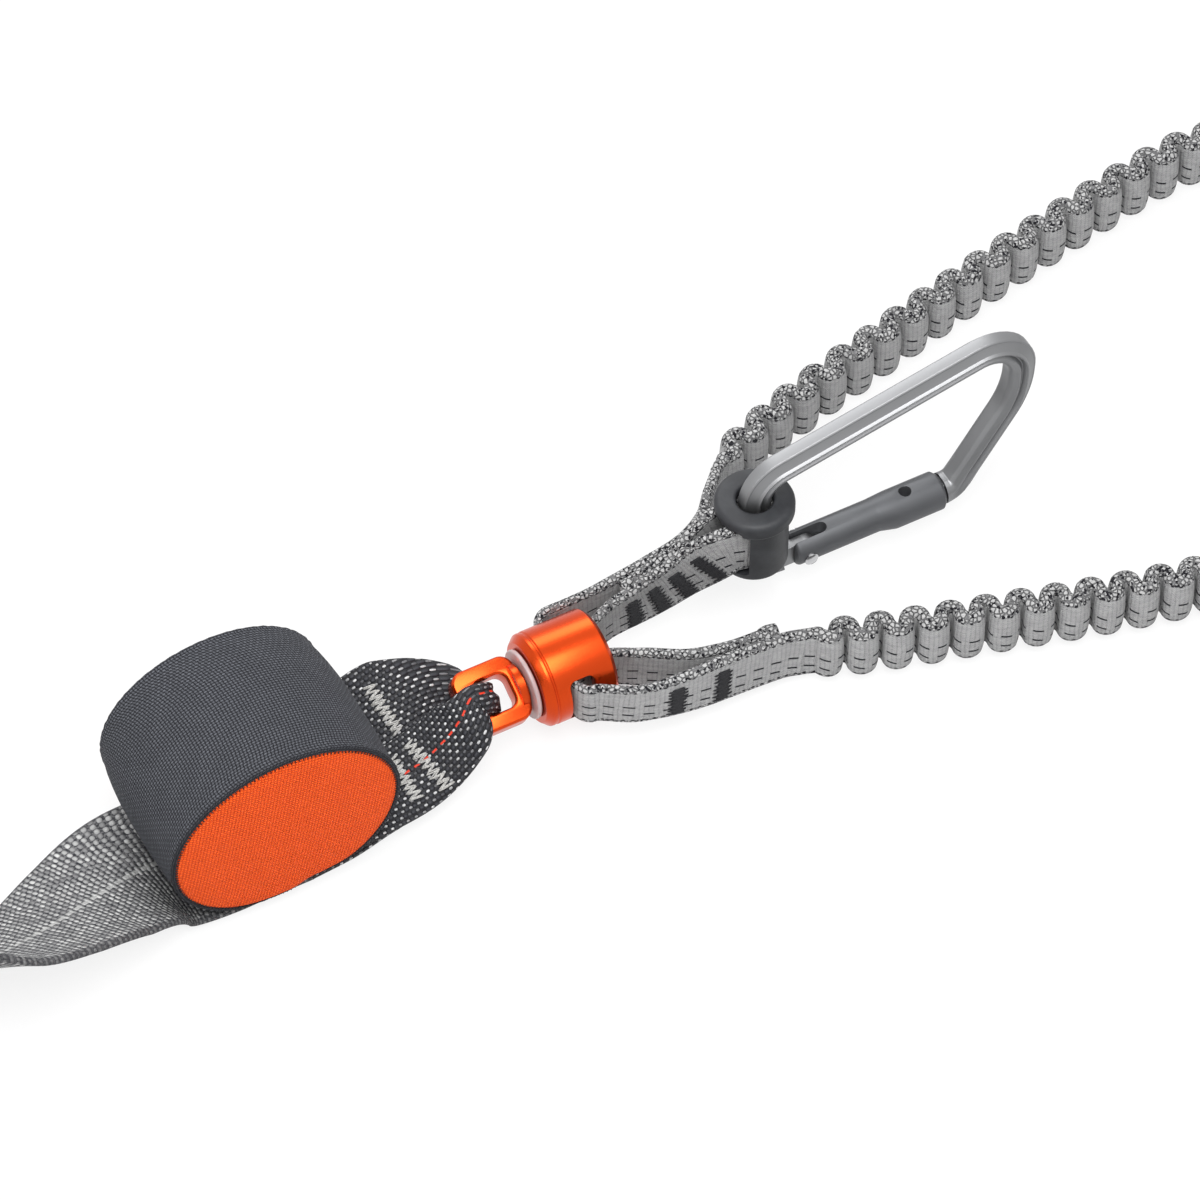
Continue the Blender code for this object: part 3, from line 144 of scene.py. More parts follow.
LEVER_SIDE_HEIGHT = 7.4
EAR_HALF_LENGTH = 3.2
EAR_BOTTOM = -2.4
EAR_CORNER = 0.5
GRIP_COUNT = 6
GRIP_START = 22
GRIP_PITCH = 6
GRIP_LENGTH = 2.5
GRIP_DEPTH = 0.35
GRIP_EASE = 0.15

# The connectors' paths: place of the hinge, where the nose ends, corners between them, their radii
BAR_TO_HINGE = 7.4
LEASH_HINGE = (14.5, 10.5)
LEASH_NOSE = 54.8
LEASH_CORNERS = ((0, 45), (76.5, 62.2), (75.6, 38.5), (58.4, 10.5))
LEASH_RADII = (4.4, 8.9, 11, 27, 4.5)
END_HINGE = (14, -25)
END_NOSE = 72.0
END_CORNERS = ((0, END_SPINE_SIDE), (END_TIP_REACH, END_SHOULDER), (END_TIP_REACH, -8.8), (81.5, -25))
END_RADII = (6.7, 8.9, 22.2, 22.2, 6.7)

UPPER_JOIN = (151.5, 35.5)
LOWER_JOIN = (145, -21.8)
UPPER_BACK_ROUTE = (
    (*UPPER_JOIN, 10),
    (145, 28.5, 11.5),
    (138.5, 20.8, 14),
    (130, 15.3, 16),
    (120, 14, 14.8),
    (108, 14, 13.4),
)
UPPER_FRONT_ROUTE = (
    (106, 8, 13.1),
    (117, 8.7, 14.5),
    (128, 7.6, 19.5),
    (137, 4.2, 26.6),
)
UPPER_RETURN_ROUTE = (
    (137, 11.6, 26.6),
    (128, 10.8, 19.5),
    (117, 11.3, 14.5),
    (111, 11.1, 13.8),
)
LOWER_FRONT_ROUTE = (
    (100, -18.5, 12.5),
    (112, -20.3, 12),
    (126, -20.4, 11.2),
    (139, -20.7, 10.5),
    (*LOWER_JOIN, 10),
)
LOWER_BACK_ROUTE = (
    (139, -17.9, 11.2),
    (126, -17.4, 11.6),
    (116, -15, 12.2),
    (106, -9, 12.8),
)
UPPER_ARM_ROUTE = (
    UPPER_JOIN,
    (159, 40.4),
    (180, 48),
    (212, 56.3),
    (245, 64),
    (286.3, 72),
    (308, 75.2),
    (328, 76),
)
LOWER_ARM_ROUTE = (
    LOWER_JOIN,
    (156.9, -25.8),
    (176, -31.8),
    (196, -37.6),
    (220, -44.6),
    (242.6, -50),
    (270, -54.4),
    (300, -55.9),
    (320, -55.9),
)

# Stations of the grey webbing: x, y, z, roll in degrees
TIE_IN_STATIONS = (
    (7.9, 0, 1.1, 0),
    (-5, 0, 1.1, 0),
    (-15, 0, 1.1, 0),
    (-30, -0.6, 2.8, 3),
    (-45, -6, 7.1, 15),
    (-60, -11.7, 11.2, 28),
    (-75, -15.8, 15.1, 41),
    (-90, -18, 19.7, 65),
    (-102, -18.7, 21.2, 90),
)
HARNESS_LOOP_RADIUS = 17
HARNESS_LOOP_REACH = 30
HARNESS_SEWN_LENGTH = 14
HARNESS_LAYER_PITCH = 3

# Stations of the black webbing: x, y, z, width, thickness, roll in degrees, drop of the selvedges
LOWER_LEG_STATIONS = (
    (7.2, 0, 1.2, 42, 2.2, 0, 0),
    (19, 0.4, 1.3, 41, 2.2, 0, 0),
    (29, 1.8, 4.8, 41, 2.2, 9, 0.4),
    (39, 3.4, 8.4, 40.5, 2.2, 18, 1.2),
    (48, 4.4, 10.3, 38, 2.2, 25, 2.4),
    (54, 5.5, 9.9, 31, 2.6, 26, 2.4),
    (58.6, 5.2, 8.6, 24, 3.2, 25, 1.8),
)
UPPER_LEG_STATIONS = (
    (57.8, -5.2, 16, 16, 3.7, 28, 1.6),
    (53.5, -6.8, 13.4, 18, 3, 29, 1.6),
    (47, -8.1, 10.3, 19.4, 2.5, 26, 1.2),
    (40, -9, 8.5, 20.4, 2.3, 19, 0.8),
    (30, -9.6, 6.6, 20.6, 2.2, 9, 0.4),
    (20, -10, 4, 20.6, 2.2, 0, 0),
    (8, -10, 3.6, 20.6, 2.2, 0, 0),
)
TRACER_START = 62
TURN_GATHERED = 4.2

# Steps along the webbings and threads
STRAP_EDGE_STEPS = 6
BAND_STEP = 0.7
TIE_IN_STEP = 0.9
BLACK_WEBBING_STEP = 0.6
BLOCK_STITCH_PITCH = 0.46
THREAD_GUIDE = (0.123, 0.456, 0.881)
THREAD_TIP_SHARE = 0.45


# Camera

CAMERA_TARGET = Vector((0.088, 0.0, 0.013))
CAMERA_RIGHT = Vector((0.883, -0.469, 0.0)).normalized()
CAMERA_BACK = Vector((-0.289, -0.544, 0.788)).normalized()
CAMERA_UP = CAMERA_BACK.cross(CAMERA_RIGHT).normalized()
CAMERA_LENS = 200
SENSOR = 36
FRAME_WIDTH = 0.3
FAR_CLIP = 20
CAMERA_SHIFT = (0.0095, 0.017)


def linked(name, data):
    """A new object in the scene."""
    obj = bpy.data.objects.new(name, data)
    bpy.context.scene.collection.objects.link(obj)
    return obj


def add_camera():
    camera = bpy.data.cameras.new("camera")
    camera.lens = CAMERA_LENS
    camera.sensor_width = SENSOR
    camera.clip_end = FAR_CLIP
    obj = linked("camera", camera)
    turn = Matrix((CAMERA_RIGHT, CAMERA_UP, CAMERA_BACK)).transposed().to_4x4()
    shift = CAMERA_RIGHT * CAMERA_SHIFT[0] + CAMERA_UP * CAMERA_SHIFT[1]
    place = CAMERA_TARGET + shift + CAMERA_BACK * FRAME_WIDTH * CAMERA_LENS / SENSOR
    obj.matrix_world = Matrix.Translation(place) @ turn
    bpy.context.scene.camera = obj


# Light and floor

FLOOR_HALF_SIZE = 4
FLOOR_HEIGHT = -0.0004
FLOOR_COLOUR = (0.9, 0.9, 0.9, 1)
FLOOR_ROUGHNESS = 0.9
FLOOR_GLOSS = 0.1
FLOOR_WHITE_SHARE = 0.85
WORLD_STRENGTH = 0.33

# Name, place, size and watts of each light
LIGHTS = (
    ("key", (0.0, -0.35, 1.1), (0.7, 0.7), 15),
    ("back", (0.25, 0.9, 0.8), (0.9, 0.5), 7),
    ("left", (-0.9, -0.1, 0.5), (0.5, 0.5), 3),
)


def add_area_light(name, place, size, watts):
    light = bpy.data.lights.new(name, "AREA")
    light.shape = "RECTANGLE"
    light.size, light.size_y = size
    light.energy = watts
    aim = (CAMERA_TARGET - Vector(place)).normalized()
    turn = aim.to_track_quat("-Z", "Y").to_matrix().to_4x4()
    linked(name, light).matrix_world = Matrix.Translation(place) @ turn


def white_for_camera(tree, shader, share, output):
    """Mixes plain white into a shader where the camera, gloss or glass sees it."""
    nodes, links = tree.nodes, tree.links
    path = nodes.new("ShaderNodeLightPath")
    seen = path.outputs["Is Camera Ray"]
    for ray in ("Is Glossy Ray", "Is Transmission Ray"):
        either = nodes.new("ShaderNodeMath")
        either.operation = "MAXIMUM"
        links.new(seen, either.inputs[0])
        links.new(path.outputs[ray], either.inputs[1])
        seen = either.outputs[0]
    strength = nodes.new("ShaderNodeMath")
    strength.operation = "MULTIPLY"
    strength.inputs[1].default_value = share
    links.new(seen, strength.inputs[0])
    mix = nodes.new("ShaderNodeMixShader")
    white = nodes.new("ShaderNodeEmission")
    for socket, source in zip(mix.inputs, (strength, shader, white)):
        links.new(source.outputs[0], socket)
    links.new(mix.outputs[0], nodes[output].inputs["Surface"])


def add_stage():
    bm = bmesh.new()
    bmesh.ops.create_grid(bm, x_segments=1, y_segments=1, size=FLOOR_HALF_SIZE)
    mesh = bpy.data.meshes.new("floor")
    bm.to_mesh(mesh)
    bm.free()
    floor = linked("floor", mesh)
    floor.location.z = FLOOR_HEIGHT
    mat = bpy.data.materials.new("floor")
    mat.use_nodes = True
    shader = mat.node_tree.nodes["Principled BSDF"]
    shader.inputs["Base Color"].default_value = FLOOR_COLOUR
    shader.inputs["Roughness"].default_value = FLOOR_ROUGHNESS
    shader.inputs["Specular IOR Level"].default_value = FLOOR_GLOSS
    white_for_camera(mat.node_tree, shader, FLOOR_WHITE_SHARE, "Material Output")
    mesh.materials.append(mat)

    world = bpy.data.worlds.new("studio")
    bpy.context.scene.world = world
    world.use_nodes = True
    soft = world.node_tree.nodes["Background"]
    soft.inputs["Color"].default_value = (1, 1, 1, 1)
    soft.inputs["Strength"].default_value = WORLD_STRENGTH
    white_for_camera(world.node_tree, soft, 1.0, "World Output")
    for light in LIGHTS:
        add_area_light(*light)


# Materials


class Value:
    """A shader's number, colour or place. Plain arithmetic on it adds math nodes."""

    def __init__(self, shader, socket):
        self.shader = shader
        self.socket = socket

    def __add__(self, other):
        return self.shader.math("ADD", self, other)

    def __sub__(self, other):
        return self.shader.math("SUBTRACT", self, other)

    def __rsub__(self, other):
        return self.shader.math("SUBTRACT", other, self)

    def __mul__(self, other):
        return self.shader.math("MULTIPLY", self, other)

    def __truediv__(self, other):
        return self.shader.math("DIVIDE", self, other)

    def __pow__(self, other):
        return self.shader.math("POWER", self, other)

    def __abs__(self):
        return self.shader.math("ABSOLUTE", self)

    def floor(self):
        return self.shader.math("FLOOR", self)

    def fraction(self):
        return self.shader.math("FRACT", self)

    def odd(self):
        """0 for even whole numbers and 1 for odd ones."""
        return self.shader.math("PINGPONG", self, 1.0)

    def off_middle(self):
        """How far it is from the middle of its unit cell."""
        return abs(self.fraction() - 0.5)

    def clamped(self):
        self.socket.node.use_clamp = True
        return self

    def remap(self, low, high, to_low=0.0, to_high=1.0):
        values = enumerate((self, low, high, to_low, to_high))
        return self.shader.node("MapRange", dict(values), interpolation_type="SMOOTHSTEP")


class Shader:
    """A Principled material that is built from sockets."""

    def __init__(self, name, roughness, metallic=0.0, specular=0.5):
        self.material = bpy.data.materials.new(name)
        self.material.use_nodes = True
        self.inputs = self.material.node_tree.nodes["Principled BSDF"].inputs
        self.inputs["Roughness"].default_value = roughness
        self.inputs["Metallic"].default_value = metallic
        self.inputs["Specular IOR Level"].default_value = specular

    def feed(self, socket, value):
        if isinstance(value, Value):
            self.material.node_tree.links.new(value.socket, socket)
        elif socket.type == "RGBA":
            socket.default_value = (*value, 1)
        else:
            socket.default_value = value

    def node(self, kind, inputs, output=0, **settings):
        """One output of a new node, with the node's settings made and its inputs fed."""
        node = self.material.node_tree.nodes.new(f"ShaderNode{kind}")
        for key, value in settings.items():
            setattr(node, key, value)
        for key, value in inputs.items():
            self.feed(node.inputs[key], value)
        return Value(self, node.outputs[output])

    def math(self, operation, *values):
        return self.node("Math", dict(enumerate(values)), operation=operation)

    def mix(self, share, first, second):
        return self.node("Mix", {0: share, 6: first, 7: second}, 2, data_type="RGBA")

    def uv(self):
        """The webbing's own place: metres along it and across it."""
        place = self.node("UVMap", {}, uv_map="UVMap")
        return [self.node("SeparateXYZ", {0: place}, output) for output in (0, 1)]

    def joined(self, x, y):
        return self.node("CombineXYZ", {0: x, 1: y})

    def place(self):
        return self.node("TexCoord", {}, "Object")

    def noise(self, place, scale, detail):
        return self.node("TexNoise", {"Vector": place, "Scale": scale, "Detail": detail}, "Fac")

    def cells(self, place, scale, output, feature="F1"):
        inputs = {"Vector": place, "Scale": scale, "Randomness": 0.9}
        return self.node("TexVoronoi", inputs, output, feature=feature)

    def chance(self, *cell):
        """A steady random number for each cell."""
        return self.node("TexWhiteNoise", {"Vector": self.joined(*cell)}, "Value", noise_dimensions="3D")

    def colour(self, value):
        self.feed(self.inputs["Base Color"], value)

    def bump(self, height, distance):
        normal = self.node("Bump", {"Strength": 1.0, "Distance": distance, "Height": height})
        self.feed(self.inputs["Normal"], normal)


# Pitches, places and reliefs of the weaves, in metres
CHARCOAL_PITCH = 0.00092
# Across the sleeve, where the painted shade at its seams is deepest
CHARCOAL_RIM = 0.0222
ORANGE_PITCH = 0.00088
RIM_SHADE_REACH = 0.0016
CLOTH_RELIEF = 0.0003
WEBBING_RELIEF = 0.00055
TIE_IN_SWAY = 0.0016
TIE_IN_ROW = 0.00145
TIE_IN_COLUMN = 0.00175
TIE_IN_CHAIN = 0.0029
TIE_IN_SELVEDGE = (0.0196, 0.0204)
BLACK_ROW = 0.00135
BLACK_STEP = 0.00225
TRACER_DASH = 0.003
TRACER_PLACE = 0.0008
BAND_SWAY = 0.0009
BAND_RIB = 0.00125
BAND_STITCH = 0.0007
BAND_DASH = 0.005
BAND_DASH_SLANT = 0.0008
BAND_DASH_ROWS = (0.0003, 0.0041)
BAND_SELVEDGE = (0.0064, 0.0069)
BAND_TICK = 0.0025
BAND_TICK_PLACE = 0.0067
BAND_RELIEF = 0.0006


def pillow(off_a, off_b, reach_a, reach_b):
    """A rounded bump that falls to nothing at the cell's sides."""
    return (1.0 - ((off_a / reach_a) ** 3.0 + (off_b / reach_b) ** 2.0)).clamped()


def cloth_material(name, light, dark, pitch, rim=None):
    """Plain-woven pouch cloth, its raised yarns lighter and its grooves darker as painted highlight and
    shade, and darker where it turns in at its seams as painted shade.
    """
    sh = Shader(name, 0.85, specular=0.2)
    along, across = sh.uv()
    a = along / pitch
    b = across / (pitch * 0.82)
    odd = (a.floor() + b.floor()).odd()
    over = pillow(a.off_middle(), b.off_middle(), 0.58, 0.48) * odd
    under = pillow(b.off_middle(), a.off_middle(), 0.58, 0.46) * (1.0 - odd)
    height = over + under * 0.7
    wobble = sh.noise(sh.joined(along, across), 180, 3)
    # Painted highlight and shade: the one-coloured yarn is lighter where the weave stands up and darker in
    # its grooves, with a little random tone.
    shade = height * wobble.remap(0.3, 0.7, 0.85, 1.0)
    # Painted shade: the cloth darkens over the last millimetres towards its rolled seams.
    if rim:
        shade = shade * abs(across).remap(rim - RIM_SHADE_REACH, rim, 1.0, 0.45)
    sh.colour(sh.mix(shade, dark, light))
    sh.bump(height + wobble * 0.4, CLOTH_RELIEF)
    return sh.material


def tie_in_material():
    """Coarse grey webbing: ribs of pale floats across it, and a faint stitched line along its middle."""
    sh = Shader("tie_in_webbing", 0.8, specular=0.3)
    along, across = sh.uv()
    place = sh.joined(along, across)
    sway = (sh.noise(place, 90, 2) - 0.5) * TIE_IN_SWAY
    row = (along + sway) / TIE_IN_ROW
    column = across / TIE_IN_COLUMN + row.floor().odd() * 0.5
    bead = pillow(row.off_middle(), column.off_middle(), 0.37, 0.50)
    pale = sh.mix(sh.chance(row.floor(), column.floor()), (0.24, 0.24, 0.245), (0.62, 0.62, 0.615))
    wear = sh.noise(place, 160, 2).remap(0.32, 0.68)
    pale = sh.mix(wear, sh.mix(0.7, (0.12, 0.12, 0.125), pale), pale)
    fine = sh.noise(place, 1500, 2).remap(0.4, 0.65)
    ground = sh.mix(fine, (0.022, 0.023, 0.028), (0.16, 0.16, 0.165))
    yarn = sh.mix(bead.remap(0.02, 0.45), ground, pale)
    reach = abs(across)
    chain = (along / TIE_IN_CHAIN).off_middle().remap(0.34, 0.46, 1.0, 0.1)
    line = reach.remap(0.0005, 0.0009, 0.55, 0.0) * chain
    yarn = sh.mix(line, yarn, (0.55, 0.55, 0.54))
    selvedge = reach.remap(*TIE_IN_SELVEDGE, 0.0, 0.7)
    sh.colour(sh.mix(selvedge, yarn, (0.045, 0.045, 0.05)))
    sh.bump(sh.math("MAXIMUM", bead, line), WEBBING_RELIEF)
    return sh.material


def black_webbing_material():
    """Black webbing: blocks of black yarn, each with a painted highlight at its middle and painted shade at
    its sides, pale flecks between them, and a red tracer yarn.
    """
    sh = Shader("black_webbing", 0.6, specular=0.35)
    along, across = sh.uv()
    row = across / BLACK_ROW
    step = along / BLACK_STEP + row.floor().odd() * 0.5
    row_off = row.off_middle()
    step_off = step.off_middle()
    fleck = pillow(step_off, row_off, 0.22, 0.27)
    block = pillow(0.5 - step_off, row_off, 0.33, 0.50)
    pale = sh.mix(sh.chance(row.floor(), step.floor()), (0.07, 0.07, 0.08), (0.74, 0.74, 0.75))
    # Painted highlight and shade: each black block is coloured lighter at its middle and darker towards its
    # sides.
    black = sh.mix(block, (0.003, 0.003, 0.005), (0.030, 0.031, 0.038))
    yarn = sh.mix(fleck.remap(0.10, 0.40), black, pale)
    dash = (along / TRACER_DASH).off_middle().remap(0.22, 0.30, 1.0, 0.0)
    started = sh.math("GREATER_THAN", along, TRACER_START * MM)
    tracer = abs(across - TRACER_PLACE).remap(0.00022, 0.00034, 1.0, 0.0) * started * dash
    sh.colour(sh.mix(tracer, yarn, (0.70, 0.035, 0.010)))
    sh.bump(sh.math("MAXIMUM", sh.math("MAXIMUM", block, fleck * 0.8), tracer), WEBBING_RELIEF)
    return sh.material


def band_material():
    """Grey elastic band: knitted columns across it, two rows of dark dashes, and looped edges."""
    sh = Shader("grey_band", 0.8, specular=0.25)
    along, across = sh.uv()
    place = sh.joined(along, across)
    shift = (sh.noise(place, 260, 2) - 0.5) * BAND_SWAY
    ribs_along = along + shift
    rib = (ribs_along / BAND_RIB).off_middle()
    column = rib.remap(0.24, 0.5, 1.0, 0.0)
    stitch = (across / BAND_STITCH + rib * 2.4).off_middle().remap(0.15, 0.5, 1.0, 0.0)
    streaks = sh.noise(sh.joined(along * 0.35, across), 900, 3).remap(0.34, 0.66, 0.0, 0.14)
    fine = sh.noise(place, 2200, 2)
    tone = (column * 0.15 + stitch * 0.26 + streaks + fine * 0.40).clamped()
    grey = sh.mix(tone, (0.105, 0.105, 0.11), (0.52, 0.52, 0.52))

    part = (ribs_along / BAND_DASH).fraction() - 0.5
    row_at = across + part * BAND_DASH_SLANT
    row_off = sh.math("MINIMUM", *(abs(row_at + place) for place in BAND_DASH_ROWS))
    dash = row_off.remap(0.00022, 0.00036, 1.0, 0.0) * abs(part).remap(0.24, 0.30, 1.0, 0.0)

    reach = abs(across)
    edge = (reach + shift * 0.8).remap(*BAND_SELVEDGE)
    loops = sh.cells(sh.place(), 850, "Distance", "DISTANCE_TO_EDGE").remap(0.0, 0.20)
    yarn = sh.node("SeparateColor", {"Color": sh.cells(sh.place(), 1550, "Color")}, "Red")
    knit = sh.mix(loops, (0.15, 0.15, 0.155), (0.42, 0.42, 0.42))
    knit = sh.mix(yarn.remap(0.15, 0.155, 1.0, 0.0), knit, (0.012, 0.012, 0.016))
    ticks = (ribs_along / BAND_TICK).off_middle().remap(0.14, 0.20, 1.0, 0.0)
    mark = abs(reach - BAND_TICK_PLACE).remap(0.00016, 0.00034, 1.0, 0.0) * ticks

    dark = sh.math("MAXIMUM", dash, mark)
    sh.colour(sh.mix(dark, sh.mix(edge, grey, knit), (0.008, 0.008, 0.012)))
    flat = tone * 0.6 + dark * -0.8
    sh.bump(flat * (1.0 - edge) + loops * edge, BAND_RELIEF)
    return sh.material


def thread_material(name, colour):
    sh = Shader(name, 0.6, specular=0.4)
    twist = sh.noise(sh.place(), 3000, 1)
    dark = [part * 0.55 for part in colour]
    sh.colour(sh.mix(twist.remap(0.35, 0.65), dark, colour))
    sh.bump(twist, 0.0001)
    return sh.material


def metal_material(name, colour, roughness, grain=0.12, metallic=1.0):
    """Metal with a faint grain and soft marks."""
    sh = Shader(name, roughness, metallic)
    marks = sh.noise(sh.place(), 120, 3)
    low = [part * (1 - grain) for part in colour]
    sh.colour(sh.mix(marks.remap(0.3, 0.7), low, colour))
    sh.feed(sh.inputs["Roughness"], marks.remap(0.3, 0.7, roughness * 0.96, roughness * 1.04))
    sh.bump(sh.noise(sh.place(), 2200, 3), 0.000003)
    return sh.material


def rubber_material():
    sh = Shader("black_rubber", 0.55, specular=0.4)
    wear = sh.noise(sh.place(), 150, 3).remap(0.35, 0.7)
    sh.colour(sh.mix(wear, (0.016, 0.017, 0.020), (0.030, 0.032, 0.036)))
    sh.bump(sh.noise(sh.place(), 2500, 2), 0.00002)
    return sh.material


def nylon_material():
    sh = Shader("pale_nylon", 0.35)
    cloud = sh.noise(sh.place(), 200, 2)
    sh.colour(sh.mix(cloud, (0.40, 0.31, 0.31), (0.48, 0.37, 0.37)))
    sh.inputs["Subsurface Weight"].default_value = 0.3
    sh.inputs["Subsurface Radius"].default_value = (0.004, 0.002, 0.0015)
    sh.inputs["Subsurface Scale"].default_value = 0.5
    return sh.material


CHARCOAL = cloth_material(
    "charcoal_cloth", (0.120, 0.126, 0.143), (0.008, 0.008, 0.011), CHARCOAL_PITCH, CHARCOAL_RIM
)
ORANGE_CLOTH = cloth_material("orange_cloth", (1.0, 0.135, 0.014), (0.60, 0.045, 0.003), ORANGE_PITCH)
TIE_IN = tie_in_material()
BLACK_WEBBING = black_webbing_material()
BAND = band_material()
PALE_THREAD = thread_material("pale_thread", (0.56, 0.55, 0.53))
BLACK_THREAD = thread_material("black_thread", (0.007, 0.007, 0.010))
ORANGE = metal_material("orange_anodised", (0.62, 0.058, 0.007), 0.26, 0.03, 0.9)
STEEL = metal_material("bright_steel", (0.60, 0.60, 0.61), 0.22)
SILVER = metal_material("satin_silver", (0.26, 0.263, 0.27), 0.48, 0.03)
GREY_METAL = metal_material("grey_anodised", (0.100, 0.103, 0.110), 0.50, 0.1, 0.5)
RUBBER = rubber_material()
NYLON = nylon_material()


# Mesh helpers

TURN_SIDES = 48


def add_piece(name, mesh, mat, body, replaced=(), smooth=None):
    mesh.shade_smooth()
    if smooth is not None:
        mesh.set_sharp_from_angle(angle=math.radians(smooth))
    mesh.materials.clear()
    mesh.materials.append(mat)
    obj = linked(name, mesh)
    if body:
        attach(obj, body)
    if replaced:
        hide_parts(*replaced)
    return obj


def moved(x=0, y=0, z=0):
    """A move in millimetres."""
    return Matrix.Translation(Vector((x, y, z)) * MM)


def turned(angle, axis):
    return Matrix.Rotation(angle, 4, axis)


def clipped(share):
    return min(1, max(0, share))


def eased(share):
    """From 0 to 1 with soft ends."""
    share = clipped(share)
    return share * share * (3 - 2 * share)


def mesh_from(bm, name):
    bmesh.ops.recalc_face_normals(bm, faces=bm.faces)
    mesh = bpy.data.meshes.new(name)
    bm.to_mesh(mesh)
    bm.free()
    return mesh


def evaluated(obj, *used):
    """The mesh with its modifiers applied; the object and its cutters go."""
    bpy.context.view_layer.update()
    depsgraph = bpy.context.evaluated_depsgraph_get()
    mesh = bpy.data.meshes.new_from_object(obj.evaluated_get(depsgraph))
    for each in (obj, *used):
        bpy.data.objects.remove(each, do_unlink=True)
    return mesh


def cut_mesh(mesh, cutters, bevel, segments, angle):
    """The mesh less its cutters, with its sharp edges eased."""
    obj = linked("blank", mesh)
    tools = [linked("cutter", cutter) for cutter in cutters]
    for tool in tools:
        step = obj.modifiers.new("cut", "BOOLEAN")
        step.operation = "DIFFERENCE"
        step.solver = "EXACT"
        step.object = tool
    ease = obj.modifiers.new("ease", "BEVEL")
    ease.width = bevel * MM
    ease.segments = segments
    ease.limit_method = "ANGLE"
    ease.angle_limit = math.radians(angle)
    return evaluated(obj, *tools)


def joined_meshes(meshes, name, weld=False):
    bm = bmesh.new()
    for mesh in meshes:
        bm.from_mesh(mesh)
    if weld:
        bmesh.ops.remove_doubles(bm, verts=bm.verts, dist=WELD_DISTANCE)
    return mesh_from(bm, name)


def box_mesh(low, high, matrix=Matrix(), round_by=0.0, segments=3):
    bm = bmesh.new()
    bmesh.ops.create_cube(bm, size=1.0)
    low, high = Vector(low) * MM, Vector(high) * MM
    move = Matrix.Translation((low + high) / 2) @ Matrix.Diagonal((*(high - low), 1))
    bmesh.ops.transform(bm, matrix=move, verts=bm.verts)
    if round_by:
        edges = bm.edges[:]
        bmesh.ops.bevel(bm, geom=edges, offset=round_by * MM, segments=segments, profile=0.5, affect="EDGES")
    bmesh.ops.transform(bm, matrix=matrix, verts=bm.verts)
    return mesh_from(bm, "box")


def circle_angles(sides):
    return [math.tau * i / sides for i in range(sides)]


def lathe_mesh(profile, matrix, segments=TURN_SIDES):
    """A turned solid about local Z. profile lists (radius, height) from axis to axis, or round a section."""
    bm = bmesh.new()
    rings = []
    for radius, height in profile:
        angles = circle_angles(segments) if radius else [0]
        places = [(radius * MM * math.cos(a), radius * MM * math.sin(a), height * MM) for a in angles]
        rings.append([bm.verts.new(place) for place in places])
    pairs = list(zip(rings, rings[1:]))
    if profile[0][0] and profile[-1][0]:
        pairs.append((rings[-1], rings[0]))
    for one, two in pairs:
        for i in range(segments):
            j = (i + 1) % segments
            corners = (one[i % len(one)], one[j % len(one)], two[j % len(two)], two[i % len(two)])
            corners = list(dict.fromkeys(corners))
            if len(corners) > 2:
                bm.faces.new(corners)
    bmesh.ops.transform(bm, matrix=matrix, verts=bm.verts)
    return mesh_from(bm, "turned")


def arc(centre, radius, start, end, steps):
    """Points on an arc in a plane, angles in degrees."""
    angles = [math.radians(start + (end - start) * i / steps) for i in range(steps + 1)]
    return [(centre[0] + radius * math.cos(a), centre[1] + radius * math.sin(a)) for a in angles]


def corner_arc(before, corner, after, radius, steps):
    """The arc that rounds a corner between its neighbours."""
    corner = Vector(corner[:2])
    back = (Vector(before[:2]) - corner).normalized()
    ahead = (Vector(after[:2]) - corner).normalized()
    half = back.angle(ahead) / 2
    centre = corner + (back + ahead).normalized() * radius / math.sin(half)
    reach = radius / math.tan(half)
    first = corner + back * reach - centre
    sweep = first.angle_signed(corner + ahead * reach - centre)
    return [tuple(centre + Matrix.Rotation(-sweep * k / steps, 2) @ first) for k in range(steps + 1)]


def rounded_profile(corners, steps=4):
    """A closed loop of (x, y, radius) corners, each rounded by its radius."""
    points = []
    afters = (*corners[1:], corners[0])
    for before, corner, after in zip((corners[-1], *corners), corners, afters):
        if corner[2]:
            points += corner_arc(before, corner, after, corner[2], steps)
        else:
            points.append(corner[:2])
    return points


def run_lengths(points):
    """How far along its run each point lies."""
    return np.concatenate([[0], np.cumsum(np.linalg.norm(np.diff(points, axis=0), axis=1))])


def row_at(length, lengths, rows):
    return np.array([np.interp(length, lengths, column) for column in rows.T])


def smooth_rows(rows, step):
    """Rows of numbers on a smooth curve through the given ones, a step apart along x, y, z."""
    rows = np.array(rows, float)
    ends = np.vstack([rows[0] * 2 - rows[1], rows, rows[-1] * 2 - rows[-2]])
    fine = []
    for a, b, c, d in zip(ends, ends[1:], ends[2:], ends[3:]):
        count = max(4, int(np.linalg.norm((c - b)[:3]) / step * 4))
        bend = a * 2 - b * 5 + c * 4 - d
        twist = b * 3 - a - c * 3 + d
        for t in np.arange(count) / count:
            fine.append((b * 2 + (c - a) * t + bend * t * t + twist * t**3) / 2)
    fine = np.array([*fine, rows[-1]])
    lengths = run_lengths(fine[:, :3])
    count = max(2, round(lengths[-1] / step))
    return np.array([row_at(wanted, lengths, fine) for wanted in np.linspace(0, lengths[-1], count + 1)])


def unit(v):
    return v / np.linalg.norm(v)


def tangent_rows(points):
    ahead = np.vstack([points[1:], points[-1] * 2 - points[-2]])
    behind = np.vstack([points[0] * 2 - points[1], points[:-1]])
    return np.array([unit(v) for v in ahead - behind])


def add_face(bm, verts, places):
    """A face, and its places on the map where it has one."""
    face = bm.faces.new(verts)
    if places[0]:
        layer = bm.loops.layers.uv.active
        for loop, place in zip(face.loops, places):
            loop[layer].uv = place


